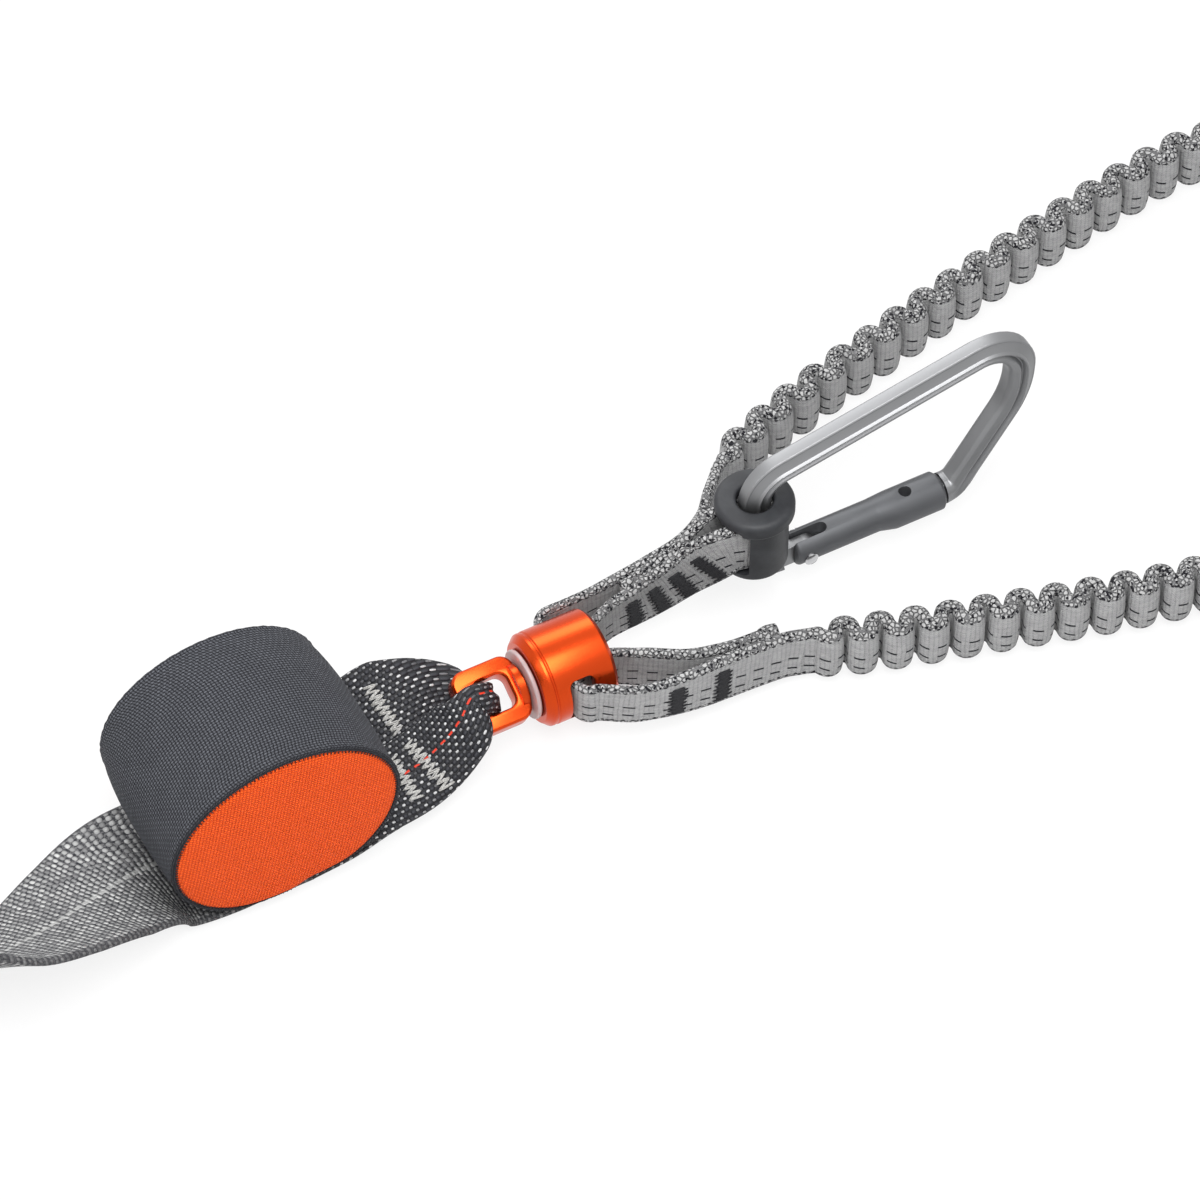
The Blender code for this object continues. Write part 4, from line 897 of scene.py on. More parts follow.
def loft(bm, rings, places=None, capped=True):
    """Faces from ring to ring and over both ends. Each row of places repeats its ring's first one."""
    count = len(rings[0])
    places = places or [[None] * (count + 1)] * len(rings)
    for one, two, here, there in zip(rings, rings[1:], places, places[1:]):
        for i in range(count):
            j = (i + 1) % count
            corners = (here[i], here[i + 1], there[i + 1], there[i])
            add_face(bm, (one[i], one[j], two[j], two[i]), corners)
    for k in (0, -1) if capped else ():
        add_face(bm, rings[k], places[k])


def strap_outline(width, thickness, face_steps):
    """A webbing's section: how far across and out each point lies, and its place across the map."""
    radius = thickness / 2
    flat = width / 2 - radius
    outline = []
    for side in (1, -1):
        for k in range(face_steps + 1):
            u = side * (2 * flat * k / face_steps - flat)
            outline.append((u, side * radius, u))
        for k in range(1, STRAP_EDGE_STEPS):
            angle = math.pi * k / STRAP_EDGE_STEPS
            around = side * (flat + radius * min(angle, math.pi - angle))
            across = side * (flat + radius * math.sin(angle))
            outline.append((across, side * radius * math.cos(angle), around))
    return outline


class Strap:
    """A webbing's run: its middle line and, at each station, its width, thickness, curl and axes."""

    def __init__(self, points, across, widths, thicknesses, nominal=WEBBING_WIDTH):
        self.points = np.array(points)
        self.along = tangent_rows(self.points)
        self.across = np.array([unit(a - t * np.dot(a, t)) for a, t in zip(across, self.along)])
        self.normal = np.cross(self.along, self.across)
        self.widths, self.thicknesses, self.curls = np.zeros((3, len(points)))
        self.widths += widths
        self.thicknesses += thicknesses
        self.nominal = nominal
        self.lengths = run_lengths(self.points)

    def surface(self, length, offset, side, lift):
        """A point on the webbing: offset across it in nominal millimetres, side 1 or -1."""
        length = min(max(length, 0), self.lengths[-1])
        middle, across, normal = (
            row_at(length, self.lengths, rows) for rows in (self.points, self.across, self.normal)
        )
        sizes = np.array((self.widths, self.thicknesses, self.curls)).T
        width, thickness, curl = row_at(length, self.lengths, sizes)
        share = offset / (self.nominal / 2)
        out = -curl * share**2 + side * (thickness / 2 + lift)
        return middle + unit(across) * share * width / 2 + unit(normal) * out

    def mesh(self, face_steps=10, ripple=None, gather=1.0, own_run=False):
        """The closed mesh. With own_run the map follows the surface, not the middle line."""
        bm = bmesh.new()
        bm.loops.layers.uv.new("UVMap")
        rings, places = [], []
        for i, middle in enumerate(self.points):
            width, thickness = self.widths[i], self.thicknesses[i]
            outline = strap_outline(width, thickness, face_steps)
            spots = []
            for u, v, _ in outline:
                share = u / (width / 2)
                rise = v - self.curls[i] * share**2
                if ripple:
                    rise += ripple(self.lengths[i], share, 1 if v > 0 else -1)
                spots.append(middle + self.across[i] * u + self.normal[i] * rise)
            rings.append([bm.verts.new(spot * MM) for spot in spots])
            middles = np.array(spots)[[face_steps // 2, len(outline) // 2 + face_steps // 2]]
            if own_run and i:
                front, back = (front, back) + np.linalg.norm(middles - before, axis=1)
            else:
                front = back = self.lengths[i]
            before = middles
            scale = (self.nominal / width) ** gather
            row = []
            for _, v, around in outline:
                run = back + (front - back) * (v / thickness + 0.5)
                row.append((run * MM, around * scale * MM))
            places.append([*row, row[0]])
        loft(bm, rings, places)
        return mesh_from(bm, "strap")


def edge_strap(route, widths, thicknesses):
    """A band that stands on edge."""
    rows = smooth_rows(route, BAND_STEP)
    across = np.tile([0.0, 0.0, 1.0], (len(rows), 1))
    widths = [widths(row) for row in rows]
    return Strap(rows, across, widths, [thicknesses(row) for row in rows], BAND_WIDTH)


# Stitching


def add_tube(bm, points, radius, sides=6):
    """A thread along points, tapered at both ends, in millimetres."""
    points = np.array(points)
    rings = []
    for i, (point, axis) in enumerate(zip(points, tangent_rows(points))):
        side = unit(np.cross(axis, THREAD_GUIDE))
        up = np.cross(axis, side)
        thick = radius * (THREAD_TIP_SHARE if i in (0, len(points) - 1) else 1.0)
        circle = [side * thick * math.cos(a) + up * thick * math.sin(a) for a in circle_angles(sides)]
        rings.append([bm.verts.new((point + away) * MM) for away in circle])
    loft(bm, rings)


def add_stitch(bm, strap, start, end, side, count, radius, lift, rise, power):
    """One arched stitch on a webbing. start and end are (length, offset) places on it."""
    thread = []
    for t in np.arange(count) / (count - 1):
        length, offset = (a + (b - a) * t for a, b in zip(start, end))
        thread.append(strap.surface(length, offset, side, lift + rise * math.sin(math.pi * t) ** power))
    add_tube(bm, thread, radius)


def zigzag_tack(name, strap, centre, offset, run, swing, teeth, side, lean):
    """Pale zigzag stitching in several passes: it runs across the webbing and swings along it."""
    bm = bmesh.new()
    count = teeth * 2 + 1
    for turn in range(2):
        points = []
        for i in range(count):
            across = offset - run / 2 + run * (i + turn * 0.35) / count
            reach = swing / 2 * (1 if i % 2 else -1) * random.uniform(0.75, 1.1)
            length = centre + reach + lean * (across - offset) + random.uniform(-0.15, 0.15)
            points.append((length, across + random.uniform(-0.12, 0.12)))
        for start, end in zip(points, points[1:]):
            add_stitch(bm, strap, start, end, side, 6, 0.19, 0.08, 0.28 + 0.09 * turn, 0.6)
    add_piece(name, mesh_from(bm, name), PALE_THREAD, "absorber")


def block_tack(name, strap, centre, run, reach, side, offset):
    """A dark bar tack: packed stitches along the band, every third one long, with ragged ends."""
    bm = bmesh.new()
    count = int(run / BLOCK_STITCH_PITCH)
    for i in range(count):
        across = offset - run / 2 + run * i / (count - 1)
        ends = []
        for turn in (i, i + 1):
            share = random.uniform(0.7, 0.95) if turn % 3 else random.uniform(1.15, 1.4)
            ends.append(reach / 2 * share)
        lean = random.uniform(-0.25, 0.25) / 2
        start = (centre - ends[0], across - lean)
        end = (centre + ends[1], across + lean)
        add_stitch(bm, strap, start, end, side, 9, 0.25, -0.12, 0.38, 0.5)
    add_piece(name, mesh_from(bm, name), BLACK_THREAD, "swivel")


# Pouch

POUCH_SIDES = 240
SLEEVE_SEAM_DEPTH = 21.6

# The sleeve's section from its front edge to its middle: y, and how far inside the plain oval
SLEEVE_ROWS = (
    (-SLEEVE_SEAM_DEPTH, 1.5),
    (-22.1, 1.1),
    (-22.5, 0.7),
    (-22.6, 0.3),
    (-22.4, -0.05),
    (-21.9, -0.25),
    (-21.0, -0.15),
    (-19.5, -0.15),
    (-17.0, -0.4),
    (-13.0, -0.6),
    (-8.0, -0.75),
    (0.0, -0.8),
)

# The panel's section from its rim to its middle: share of its oval, and depth
PANEL_ROWS = (
    (1.02, 21.2),
    (1.0, 22.1),
    (0.975, 22.6),
    (0.93, 22.9),
    (0.85, 23.1),
    (0.72, 23.35),
    (0.55, 23.6),
    (0.36, 23.8),
    (0.18, 23.9),
)
PANEL_MIDDLE_DEPTH = 23.95
PANEL_INSET = 0.75
PANEL_WEAVE_TURN = math.radians(12)

# The seam's ticks: how far inside the oval they start and end, and their depths
TICK_COUNT = 170
TICK_INSETS = (0.7, 1.5)
TICK_DEPTHS = (-22.35, -22.7, -22.5)


def pouch_rest(x):
    """How high the pouch's floor lies: on one webbing at the left, on two at the right."""
    return 2.7 + 2.4 * eased(x / 7.0)


def oval_ring(inset, share=1.0, count=POUCH_SIDES):
    """The pouch's oval, drawn in and then shrunk, with its lower side resting softly on the webbing."""
    soft = 1.2
    points = []
    for i in range(count):
        angle = math.tau * i / count - math.pi / 2
        x = POUCH_CENTRE + (POUCH_HALF_LENGTH - inset) * share * math.cos(angle)
        z = POUCH_CENTRE_HEIGHT + (POUCH_HALF_HEIGHT - inset) * share * math.sin(angle)
        floor = pouch_rest(x)
        rise = (z - floor) / soft
        if rise < 20:
            z = floor + soft * math.log(1 + math.exp(rise))
        points.append((x, z))
    return points


def sleeve_fullness(run, y):
    """Puckers beside the seams, and slow waves between them."""
    near_seam = max(0, 1 - abs(abs(y) - SLEEVE_SEAM_DEPTH) / 3.5)
    pucker = 0.16 * near_seam * math.sin(run * 2.1) * math.sin(run * 0.37 + 1)
    return pucker + 0.22 * (1 - near_seam) * math.sin(run * 0.09 + y * 0.05)


def pouch_band():
    """The sleeve, with a rolled seam at each side and a slight fullness between them."""
    rows = list(SLEEVE_ROWS)
    for y, inset in reversed(SLEEVE_ROWS[:-1]):
        rows.append((-y * BACK_DEPTH_SHARE, inset + BACK_INSET * (y / SLEEVE_SEAM_DEPTH) ** 2))
    bm = bmesh.new()
    bm.loops.layers.uv.new("UVMap")
    rings, places = [], []
    for y, inset in rows:
        ring = oval_ring(inset)
        runs = run_lengths([*ring, ring[0]])
        verts = []
        for (x, z), run in zip(ring, runs):
            away = Vector((x - POUCH_CENTRE, 0, z - POUCH_CENTRE_HEIGHT)).normalized()
            verts.append(bm.verts.new((Vector((x, y, z)) + away * sleeve_fullness(run, y)) * MM))
        rings.append(verts)
        places.append([(run * MM, (y - inset) * MM) for run in runs])
    loft(bm, rings, places, capped=False)
    mesh = mesh_from(bm, "pouch_band")
    add_piece("pouch_band_cloth", mesh, CHARCOAL, "absorber", ("pouch_side_band",))


def pouch_panel(name, side, node):
    """The oval end panel: it fills out from under the rolled seam."""
    inset = PANEL_INSET + (BACK_INSET if side > 0 else 0)
    push = side * (BACK_DEPTH_SHARE if side > 0 else 1)
    bm = bmesh.new()
    rings = []
    for share, depth in PANEL_ROWS:
        ring = oval_ring(inset, share)
        rings.append([bm.verts.new(Vector((x, push * depth, z)) * MM) for x, z in ring])
    rings.append([bm.verts.new(Vector((POUCH_CENTRE, push * PANEL_MIDDLE_DEPTH, POUCH_CENTRE_HEIGHT)) * MM)])
    loft(bm, rings[:-1], capped=False)
    for i in range(POUCH_SIDES):
        bm.faces.new((rings[-2][i], rings[-2][(i + 1) % POUCH_SIDES], rings[-1][0]))
    layer = bm.loops.layers.uv.new("UVMap")
    turn = Matrix.Rotation(PANEL_WEAVE_TURN, 2)
    for face in bm.faces:
        for loop in face.loops:
            loop[layer].uv = turn @ Vector((loop.vert.co.x, loop.vert.co.z))
    mesh = mesh_from(bm, name)
    if mesh.polygons[-1].normal.y * side < 0:
        mesh.flip_normals()
    add_piece(name, mesh, ORANGE_CLOTH, "absorber", (node,))


def seam_ticks():
    """Small dark stitches where the front panel meets the band."""
    bm = bmesh.new()
    outer, inner = (oval_ring(inset, count=TICK_COUNT) for inset in TICK_INSETS)
    start, top, end = TICK_DEPTHS
    for (x0, z0), (x1, z1) in zip(outer, inner):
        thread = ((x0, start, z0), ((x0 + x1) / 2, top, (z0 + z1) / 2), (x1, end, z1))
        add_tube(bm, thread, 0.2, 5)
    add_piece("front_seam_ticks", mesh_from(bm, "seam_ticks"), BLACK_THREAD, "absorber")


# Absorber webbing


def tie_in():
    """Under the pouch, then twisting on edge, and round the harness loop."""
    x, y, z, roll = TIE_IN_STATIONS[-1]
    loop_start = x - HARNESS_SEWN_LENGTH
    middle = y + HARNESS_LAYER_PITCH / 2
    sewn_end = x - HARNESS_SEWN_LENGTH * 0.6
    flare_x = loop_start - HARNESS_LOOP_RADIUS * 0.6
    flare_y = HARNESS_LOOP_RADIUS * 0.62
    far = loop_start - HARNESS_LOOP_REACH - HARNESS_LOOP_RADIUS
    plan = (
        (sewn_end, y),
        (flare_x, middle - flare_y),
        *arc((far, middle), HARNESS_LOOP_RADIUS, 270, 90, 10),
        (flare_x, middle + flare_y),
        (sewn_end, y + HARNESS_LAYER_PITCH),
        (x, y + HARNESS_LAYER_PITCH),
    )
    rows = smooth_rows([*TIE_IN_STATIONS, *((*place, z, roll) for place in plan)], TIE_IN_STEP)
    points = rows[:, :3]
    across = []
    for along, angle in zip(tangent_rows(points), np.radians(rows[:, 3])):
        level = unit(np.cross([0, 0, 1], along))
        across.append(level * math.cos(angle) + np.cross(along, level) * math.sin(angle))
    strap = Strap(points, across, WEBBING_WIDTH, WEBBING_THICKNESS)
    mesh = strap.mesh(face_steps=16)
    add_piece("tie_in_strap", mesh, TIE_IN, "absorber", ("tie_in_webbing",))


def black_webbing():
    """Under the eye plate, up through its hole, round its end bar and back on top, gathered at the turn."""
    frame_turn = Matrix.Rotation(EYE_ROLL, 3, "X")
    radius = EYE_THICKNESS / 2 + GAP * 2 + TURN_GATHERED / 2
    sizes = (EYE_HOLE_WIDTH - GAP * 2, TURN_GATHERED, math.degrees(EYE_ROLL), 0.8)
    turn = []
    for x, z in arc((EYE_START + EYE_BAR / 2, 0), radius, -90, 90, 8):
        place = frame_turn @ Vector((x, 0, z)) + Vector((0, 0, SWIVEL_HEIGHT))
        turn.append((*place, *sizes))
    rows = smooth_rows([*LOWER_LEG_STATIONS, *turn, *UPPER_LEG_STATIONS], BLACK_WEBBING_STEP)
    across = [(0, math.cos(r), math.sin(r)) for r in np.radians(rows[:, 5])]
    strap = Strap(rows[:, :3], np.array(across), rows[:, 3], rows[:, 4])
    strap.curls = rows[:, 6] * np.sign(strap.normal[:, 2])
    turn_at = int(np.argmax(strap.points[:, 0]))

    def ripple(length, share, side):
        near = math.exp(-((length - strap.lengths[turn_at]) / 10.0) ** 2)
        return near * 0.35 * math.sin(share * 6.5)

    mesh = strap.mesh(face_steps=20, ripple=ripple, gather=0.0)
    add_piece("absorber_strap", mesh, BLACK_WEBBING, "absorber", ("absorber_loop_webbing",))
    return strap, turn_at


# Swivel

EYE_BEVEL = 0.6
EYE_EDGE_EASE = 0.2
EYE_CORNER = 3.6
EYE_HOLE_CORNER = 2.4
COLLAR_PROFILE = ((0, -2.2), (6.0, -2.2), (6.2, -1.9), (6.2, -0.3), (5.9, 0), (0, 0))
STEM_PROFILE = ((0, -1), (STEM_RADIUS, -1), (STEM_RADIUS, 9), (2.8, 9), (2.8, 10.8), (0, 10.8))
WINDOW_CORNER = 1.6


def along_x(x):
    return moved(x, 0, SWIVEL_HEIGHT) @ turned(math.pi / 2, "Y")


def rounded_rectangle(start, length, width, corner):
    low, high = start + corner, start + length - corner
    side = width / 2 - corner
    points = []
    for quarter, centre in enumerate(((high, side), (low, side), (low, -side), (high, -side))):
        points += arc(centre, corner, quarter * 90, quarter * 90 + 90, 8)
    return points


def swivel_eye():
    curve = bpy.data.curves.new("eye", "CURVE")
    curve.dimensions = "2D"
    curve.fill_mode = "BOTH"
    curve.extrude = (EYE_THICKNESS / 2 - EYE_BEVEL) * MM
    curve.bevel_depth = EYE_BEVEL * MM
    curve.bevel_resolution = 0
    curve.offset = -EYE_BEVEL * MM
    for outline in (
        rounded_rectangle(EYE_START, EYE_LENGTH, EYE_WIDTH, EYE_CORNER),
        rounded_rectangle(EYE_START + EYE_BAR, EYE_HOLE_LENGTH, EYE_HOLE_WIDTH, EYE_HOLE_CORNER),
    ):
        spline = curve.splines.new("POLY")
        spline.points.add(len(outline) - 1)
        for point, (x, y) in zip(spline.points, outline):
            point.co = (x * MM, y * MM, 0, 1)
        spline.use_cyclic_u = True
    plate = joined_meshes([evaluated(linked("eye", curve))], "plate", weld=True)
    plate = cut_mesh(plate, [], EYE_EDGE_EASE, 2, 25)
    plate.transform(moved(z=SWIVEL_HEIGHT) @ turned(EYE_ROLL, "X"))
    collar = lathe_mesh(COLLAR_PROFILE, along_x(EYE_END))
    stem = lathe_mesh(STEM_PROFILE, along_x(EYE_END), 32)
    mesh = joined_meshes((plate, collar, stem), "swivel_eye_forging")
    add_piece("swivel_eye_forging", mesh, ORANGE, "absorber", ("swivel_eye",), smooth=20)


def barrel():
    bore = STEM_RADIUS + GAP
    outline = (
        (bore, BARREL_END_WALL, 0),
        (CUP_RADIUS, BARREL_END_WALL, 0.8),
        (CUP_RADIUS, BARREL_LENGTH, 0.5),
        (BARREL_RADIUS - 1.2, BARREL_LENGTH, 0.35),
        (BARREL_RADIUS, BARREL_LENGTH - 1.1, 0.5),
        (BARREL_RADIUS, 3.35, 0.3),
        (BARREL_RADIUS - 0.35, 3.1, 0.15),
        (BARREL_RADIUS - 0.35, 2.75, 0.15),
        (BARREL_RADIUS - 0.05, 2.5, 0.2),
        (BARREL_RADIUS - 0.15, 1.7, 0.4),
        (BARREL_RADIUS - 1.7, 0, 0.4),
        (bore, 0, 0.3),
    )
    blank = lathe_mesh(rounded_profile(outline), along_x(BARREL_START), 96)
    reach = BARREL_RADIUS + CUTTER_REACH
    low = (WINDOW_END - WINDOW_LENGTH, -reach, SWIVEL_HEIGHT - WINDOW_HALF_HEIGHT)
    high = (WINDOW_END, reach, SWIVEL_HEIGHT + WINDOW_HALF_HEIGHT)
    window = box_mesh(low, high, round_by=WINDOW_CORNER, segments=4)
    mesh = cut_mesh(blank, [window], 0.3, 3, 50)
    add_piece("barrel_shell", mesh, ORANGE, "swivel", ("swivel_barrel",), smooth=35)


def washer():
    bore = STEM_RADIUS + GAP
    outline = (
        (bore, 0, 0.2),
        (bore, WASHER_THICKNESS, 0.2),
        (WASHER_RADIUS, WASHER_THICKNESS, 0.45),
        (WASHER_RADIUS, 0, 0.45),
    )
    mesh = lathe_mesh(rounded_profile(outline, 5), along_x(WASHER_START), 72)
    add_piece("nylon_washer", mesh, NYLON, "absorber", ("eye_washer",), smooth=50)


# Bands and arms

FOLDED_END = 2.2
FOLDED_REACH = 2.6
FOLDED_THICKNESS = 2.4
WAVE_STEPS = 28
WAVE_OVERHANG = 0.42
WAVE_START_SHARE = 0.35
ARM_FULL_FROM = 6
BULGE_FULL_FROM = 10


def barrel_wrap(side):
    """The band's turn round a rim strip, from outside the barrel to inside it."""
    radius = (BAND_OUTSIDE_OFFSET - BAND_INSIDE_OFFSET) / 2
    middle = (BAND_OUTSIDE_OFFSET + BAND_INSIDE_OFFSET) / 2
    turn = arc((WINDOW_END - GAP, middle), radius, 90, 270, 8)
    return [(x, side * y, SWIVEL_HEIGHT) for x, y in turn]


def band_width(row):
    """The band is drawn in where it passes the barrel's windows."""
    share = clipped((row[0] - BARREL_END - BAND_WIDTH / 3) / BAND_WIDTH)
    return BAND_WINDOW_WIDTH + (BAND_WIDTH - BAND_WINDOW_WIDTH) * share


def band_thickness(row):
    """The band fills out past the barrel's mouth."""
    share = clipped((row[0] - BARREL_END - 2) / 8)
    return BAND_THICKNESS + (BAND_FULL_THICKNESS - BAND_THICKNESS) * share


def upper_band():
    leash_turn = arc(LEASH_BAR, WRAP_RADIUS, -90, 90, 8)
    route = (
        *UPPER_BACK_ROUTE,
        (BARREL_END, BAND_OUTSIDE_OFFSET, SWIVEL_HEIGHT),
        *barrel_wrap(1),
        (BARREL_END - GAP, BAND_INSIDE_OFFSET, SWIVEL_HEIGHT),
        *UPPER_FRONT_ROUTE,
        *((x, y, LEASH_KEEPER_HEIGHT) for x, y in leash_turn),
        *UPPER_RETURN_ROUTE,
    )
    strap = edge_strap(route, band_width, band_thickness)
    add_piece("upper_band", strap.mesh(), BAND, "swivel", ("upper_loop_webbing",))
    return strap


def lower_band():
    route = (
        *LOWER_BACK_ROUTE,
        (BARREL_END - GAP, -BAND_INSIDE_OFFSET, SWIVEL_HEIGHT),
        *reversed(barrel_wrap(-1)),
        *LOWER_FRONT_ROUTE,
    )
    strap = edge_strap(route, band_width, band_thickness)
    folded = np.clip(1 - np.abs(strap.lengths - FOLDED_END) / FOLDED_REACH, 0, 1)
    strap.thicknesses += FOLDED_THICKNESS * np.sqrt(folded)
    add_piece("lower_band", strap.mesh(), BAND, "swivel", ("lower_loop_webbing",))
    return strap


def arm_places(guide, pitch):
    """The folded band's middle line: it swings from side to side of its guide in waves that overhang."""
    directions = tangent_rows(guide)
    lengths = run_lengths(guide)
    waved = lengths[-1] - 2 * ARM_TAIL
    count = round(waved / pitch) * WAVE_STEPS
    places = [guide[0] - directions[0] * ARM_LAP, guide[0] + directions[0] * ARM_TAIL * 0.4]
    for i in range(count + 1):
        turn = math.tau * i / WAVE_STEPS
        grow = min(1, i / WAVE_STEPS * 2, (count - i) / WAVE_STEPS * 2)
        grow = WAVE_START_SHARE + (1 - WAVE_START_SHARE) * max(0, grow)
        wanted = ARM_TAIL + waved * i / count - WAVE_OVERHANG * grow * math.sin(2 * turn)
        sideways = np.cross(unit(row_at(wanted, lengths, directions)), [0, 0, 1])
        places.append(row_at(wanted, lengths, guide) + sideways * ARM_HALF_SWING * grow * math.sin(turn))
    return [*places, guide[-1] + directions[-1] * ARM_LAP]


def arm(prefix, route, pitch):
    """The ribbed elastic arm: the band folds to and fro in round bellows."""
    guide = smooth_rows([(*place, ARM_HEIGHT) for place in route], ARM_GUIDE_STEP)
    rows = smooth_rows(arm_places(guide, pitch), ARM_STEP)
    across = np.tile([0.0, 0.0, 1.0], (len(rows), 1))
    to_ends = np.linalg.norm(rows[[0, -1]][:, None] - rows[None], axis=2).min(axis=0)
    thin = BAND_FULL_THICKNESS - 2 * ARM_LAP_STEP
    thicknesses = thin + (ARM_FULL_THICKNESS - thin) * np.clip(to_ends / ARM_FULL_FROM, 0, 1)
    strap = Strap(rows, across, BAND_WIDTH, thicknesses, BAND_WIDTH)
    headings = np.unwrap(np.arctan2(strap.along[:, 1], strap.along[:, 0]))
    turns = np.clip(np.gradient(headings, strap.lengths) * ARM_HALF_SWING, -1, 1)

    def bulge(length, share, side):
        """Full on the outside of each lobe, slight on its flanks and inside."""
        inside = min(1, length / BULGE_FULL_FROM, (strap.lengths[-1] - length) / BULGE_FULL_FROM)
        outer = max(0, side * np.interp(length, strap.lengths, turns))
        fullness = ARM_FLANK_SHARE + (1 - ARM_FLANK_SHARE) * outer
        return side * ARM_BULGE * fullness * inside * (1 - abs(share) ** 3)

    mesh = strap.mesh(ripple=bulge, own_run=True)
    obj = add_piece(f"{prefix}_arm_band", mesh, BAND, None)
    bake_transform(obj)
    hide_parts(f"{prefix}_elastic_arm")


# Carabiners

# A side of the bar's section: shares of its half depth and half height, and the corner's radius
BAR_SIDE_SHARES = (
    (0.40, 1.00, 1.1),
    (0.70, 0.82, 0.8),
    (0.92, 0.44, 0.2),
    (0.90, 0.34, 0.15),
    (0.62, 0.14, 0.15),
    (0.62, 0.06, 0.15),
    (1.00, -0.12, 0.15),
    (1.00, -0.20, 0.15),
    (0.80, -0.30, 0.15),
    (0.48, -0.84, 0.15),
    (0.50, -0.90, 0.12),
    (0.40, -1.00, 0.15),
)
BAR_NOSE_LENGTH = 9.0
BAR_START_LENGTH = 5.0
BAR_START_SHARE = 0.6
BAR_ROUND_SHARE = 1.12

# The gate and its hinge
LUG_OVERLAP = 1
LUG_EASE = 0.3
TONGUE_BACK = 4.6
TONGUE_AHEAD = 3
TONGUE_HALF_DEPTH = 1.8
TONGUE_HALF_HEIGHT = 2.8
TONGUE_EASE = 0.4
GATE_BACK = 3.4
GATE_NOSE_GAP = 0.5
GATE_STEP_SHARE = 0.62
FORK_GAP = 0.3
FORK_LENGTH = 6.6
GATE_SLOT_LENGTH = 5.2
GATE_SLOT_HALF_DEPTH = 2.1
GATE_SLOT_TOP = 3.1
GATE_HOLE_BACK = 10.2
GATE_HOLE_RADIUS = 1.7
CUTTER_HALF = 8
PIN_RADIUS = 1.9
PIN_DOME = 0.45
PIN_PROUD = 0.8


def bar_section():
    """The bar's outline across its run: a flat outer face, and two channels on each side."""
    mirrored = [(-x, y, radius) for x, y, radius in reversed(BAR_SIDE_SHARES)]
    sides = (*BAR_SIDE_SHARES, *mirrored)
    return rounded_profile([(x * BAR_HALF_DEPTH, y * BAR_HALF_HEIGHT, radius) for x, y, radius in sides], 2)


def rounded_path(corners, radii, steps=12, straight=6):
    """An open path through corners, rounded at each inner corner, with points along its straights too."""
    points = [Vector(corners[0])]
    bends = [corner_arc(*three, steps) for three in zip(corners, corners[1:], corners[2:], radii)]
    for bend in (*bends, [corners[-1]]):
        begin = points[-1]
        points += [begin.lerp(Vector(bend[0]), k / straight) for k in range(1, straight)]
        points += [Vector(point) for point in bend]
    return points


def bar_mesh(corners, radii, matrix):
    """The grooved bar swept along its path, a little fuller and plain-sided at its nose."""
    path = np.array([(p.x, 0.0, p.y) for p in rounded_path(corners, radii)])
    lengths = run_lengths(path)
    section = bar_section()
    bm = bmesh.new()
    rings = []
    for place, axis, length in zip(path, tangent_rows(path), lengths):
        inward = np.cross([0, 1, 0], axis)
        nose = max(0, 1 - (lengths[-1] - length) / BAR_NOSE_LENGTH)
        share = max(nose, BAR_START_SHARE * (1 - length / BAR_START_LENGTH))
        verts = []
        for x, y in section:
            angle = math.atan2(y, x)
            x += (BAR_HALF_DEPTH * BAR_ROUND_SHARE * math.cos(angle) - x) * share
            y += (BAR_HALF_HEIGHT * BAR_ROUND_SHARE * math.sin(angle) - y) * share
            verts.append(bm.verts.new((place + np.array([0, x, 0]) + inward * y) * MM))
        rings.append(verts)
    loft(bm, rings)
    bmesh.ops.transform(bm, matrix=matrix, verts=bm.verts)
    return mesh_from(bm, "bar")


def pin_mesh(radius, x, z, half, matrix, dome):
    """A pin across the connector's plane."""
    shoulder = radius * 0.75
    side = [(0, half), (shoulder, half - dome * 0.15), (radius, half - dome)]
    profile = [*side, *((r, -h) for r, h in reversed(side))]
    return lathe_mesh(profile, matrix @ moved(x, 0, z) @ turned(math.pi / 2, "X"), 32)


def gate_mesh(hinge, nose):
    """The gate's tube along its own x: a neck at its hinge end that swells to the body on its outer side."""
    start = hinge - GATE_BACK
    end = nose - GATE_NOSE_GAP
    step = start + (end - start) * GATE_STEP_SHARE
    outline = (
        (0, start, 0),
        (GATE_NECK_RADIUS, start, 1.0),
        (GATE_NECK_RADIUS, step - 3.0, 6.0),
        (GATE_RADIUS, step + 2.0, 6.0),
        (GATE_RADIUS, end - 0.9, 0.4),
        (GATE_RADIUS - 0.9, end, 0.3),
        (0, end, 0),
    )
    mesh = lathe_mesh(rounded_profile(outline), turned(math.pi / 2, "Y"))
    for vert in mesh.vertices:
        vert.co.z += (GATE_RADIUS - GATE_NECK_RADIUS) * MM * eased((step + 2.5 - vert.co.x / MM) / 5)
    return mesh, start, end


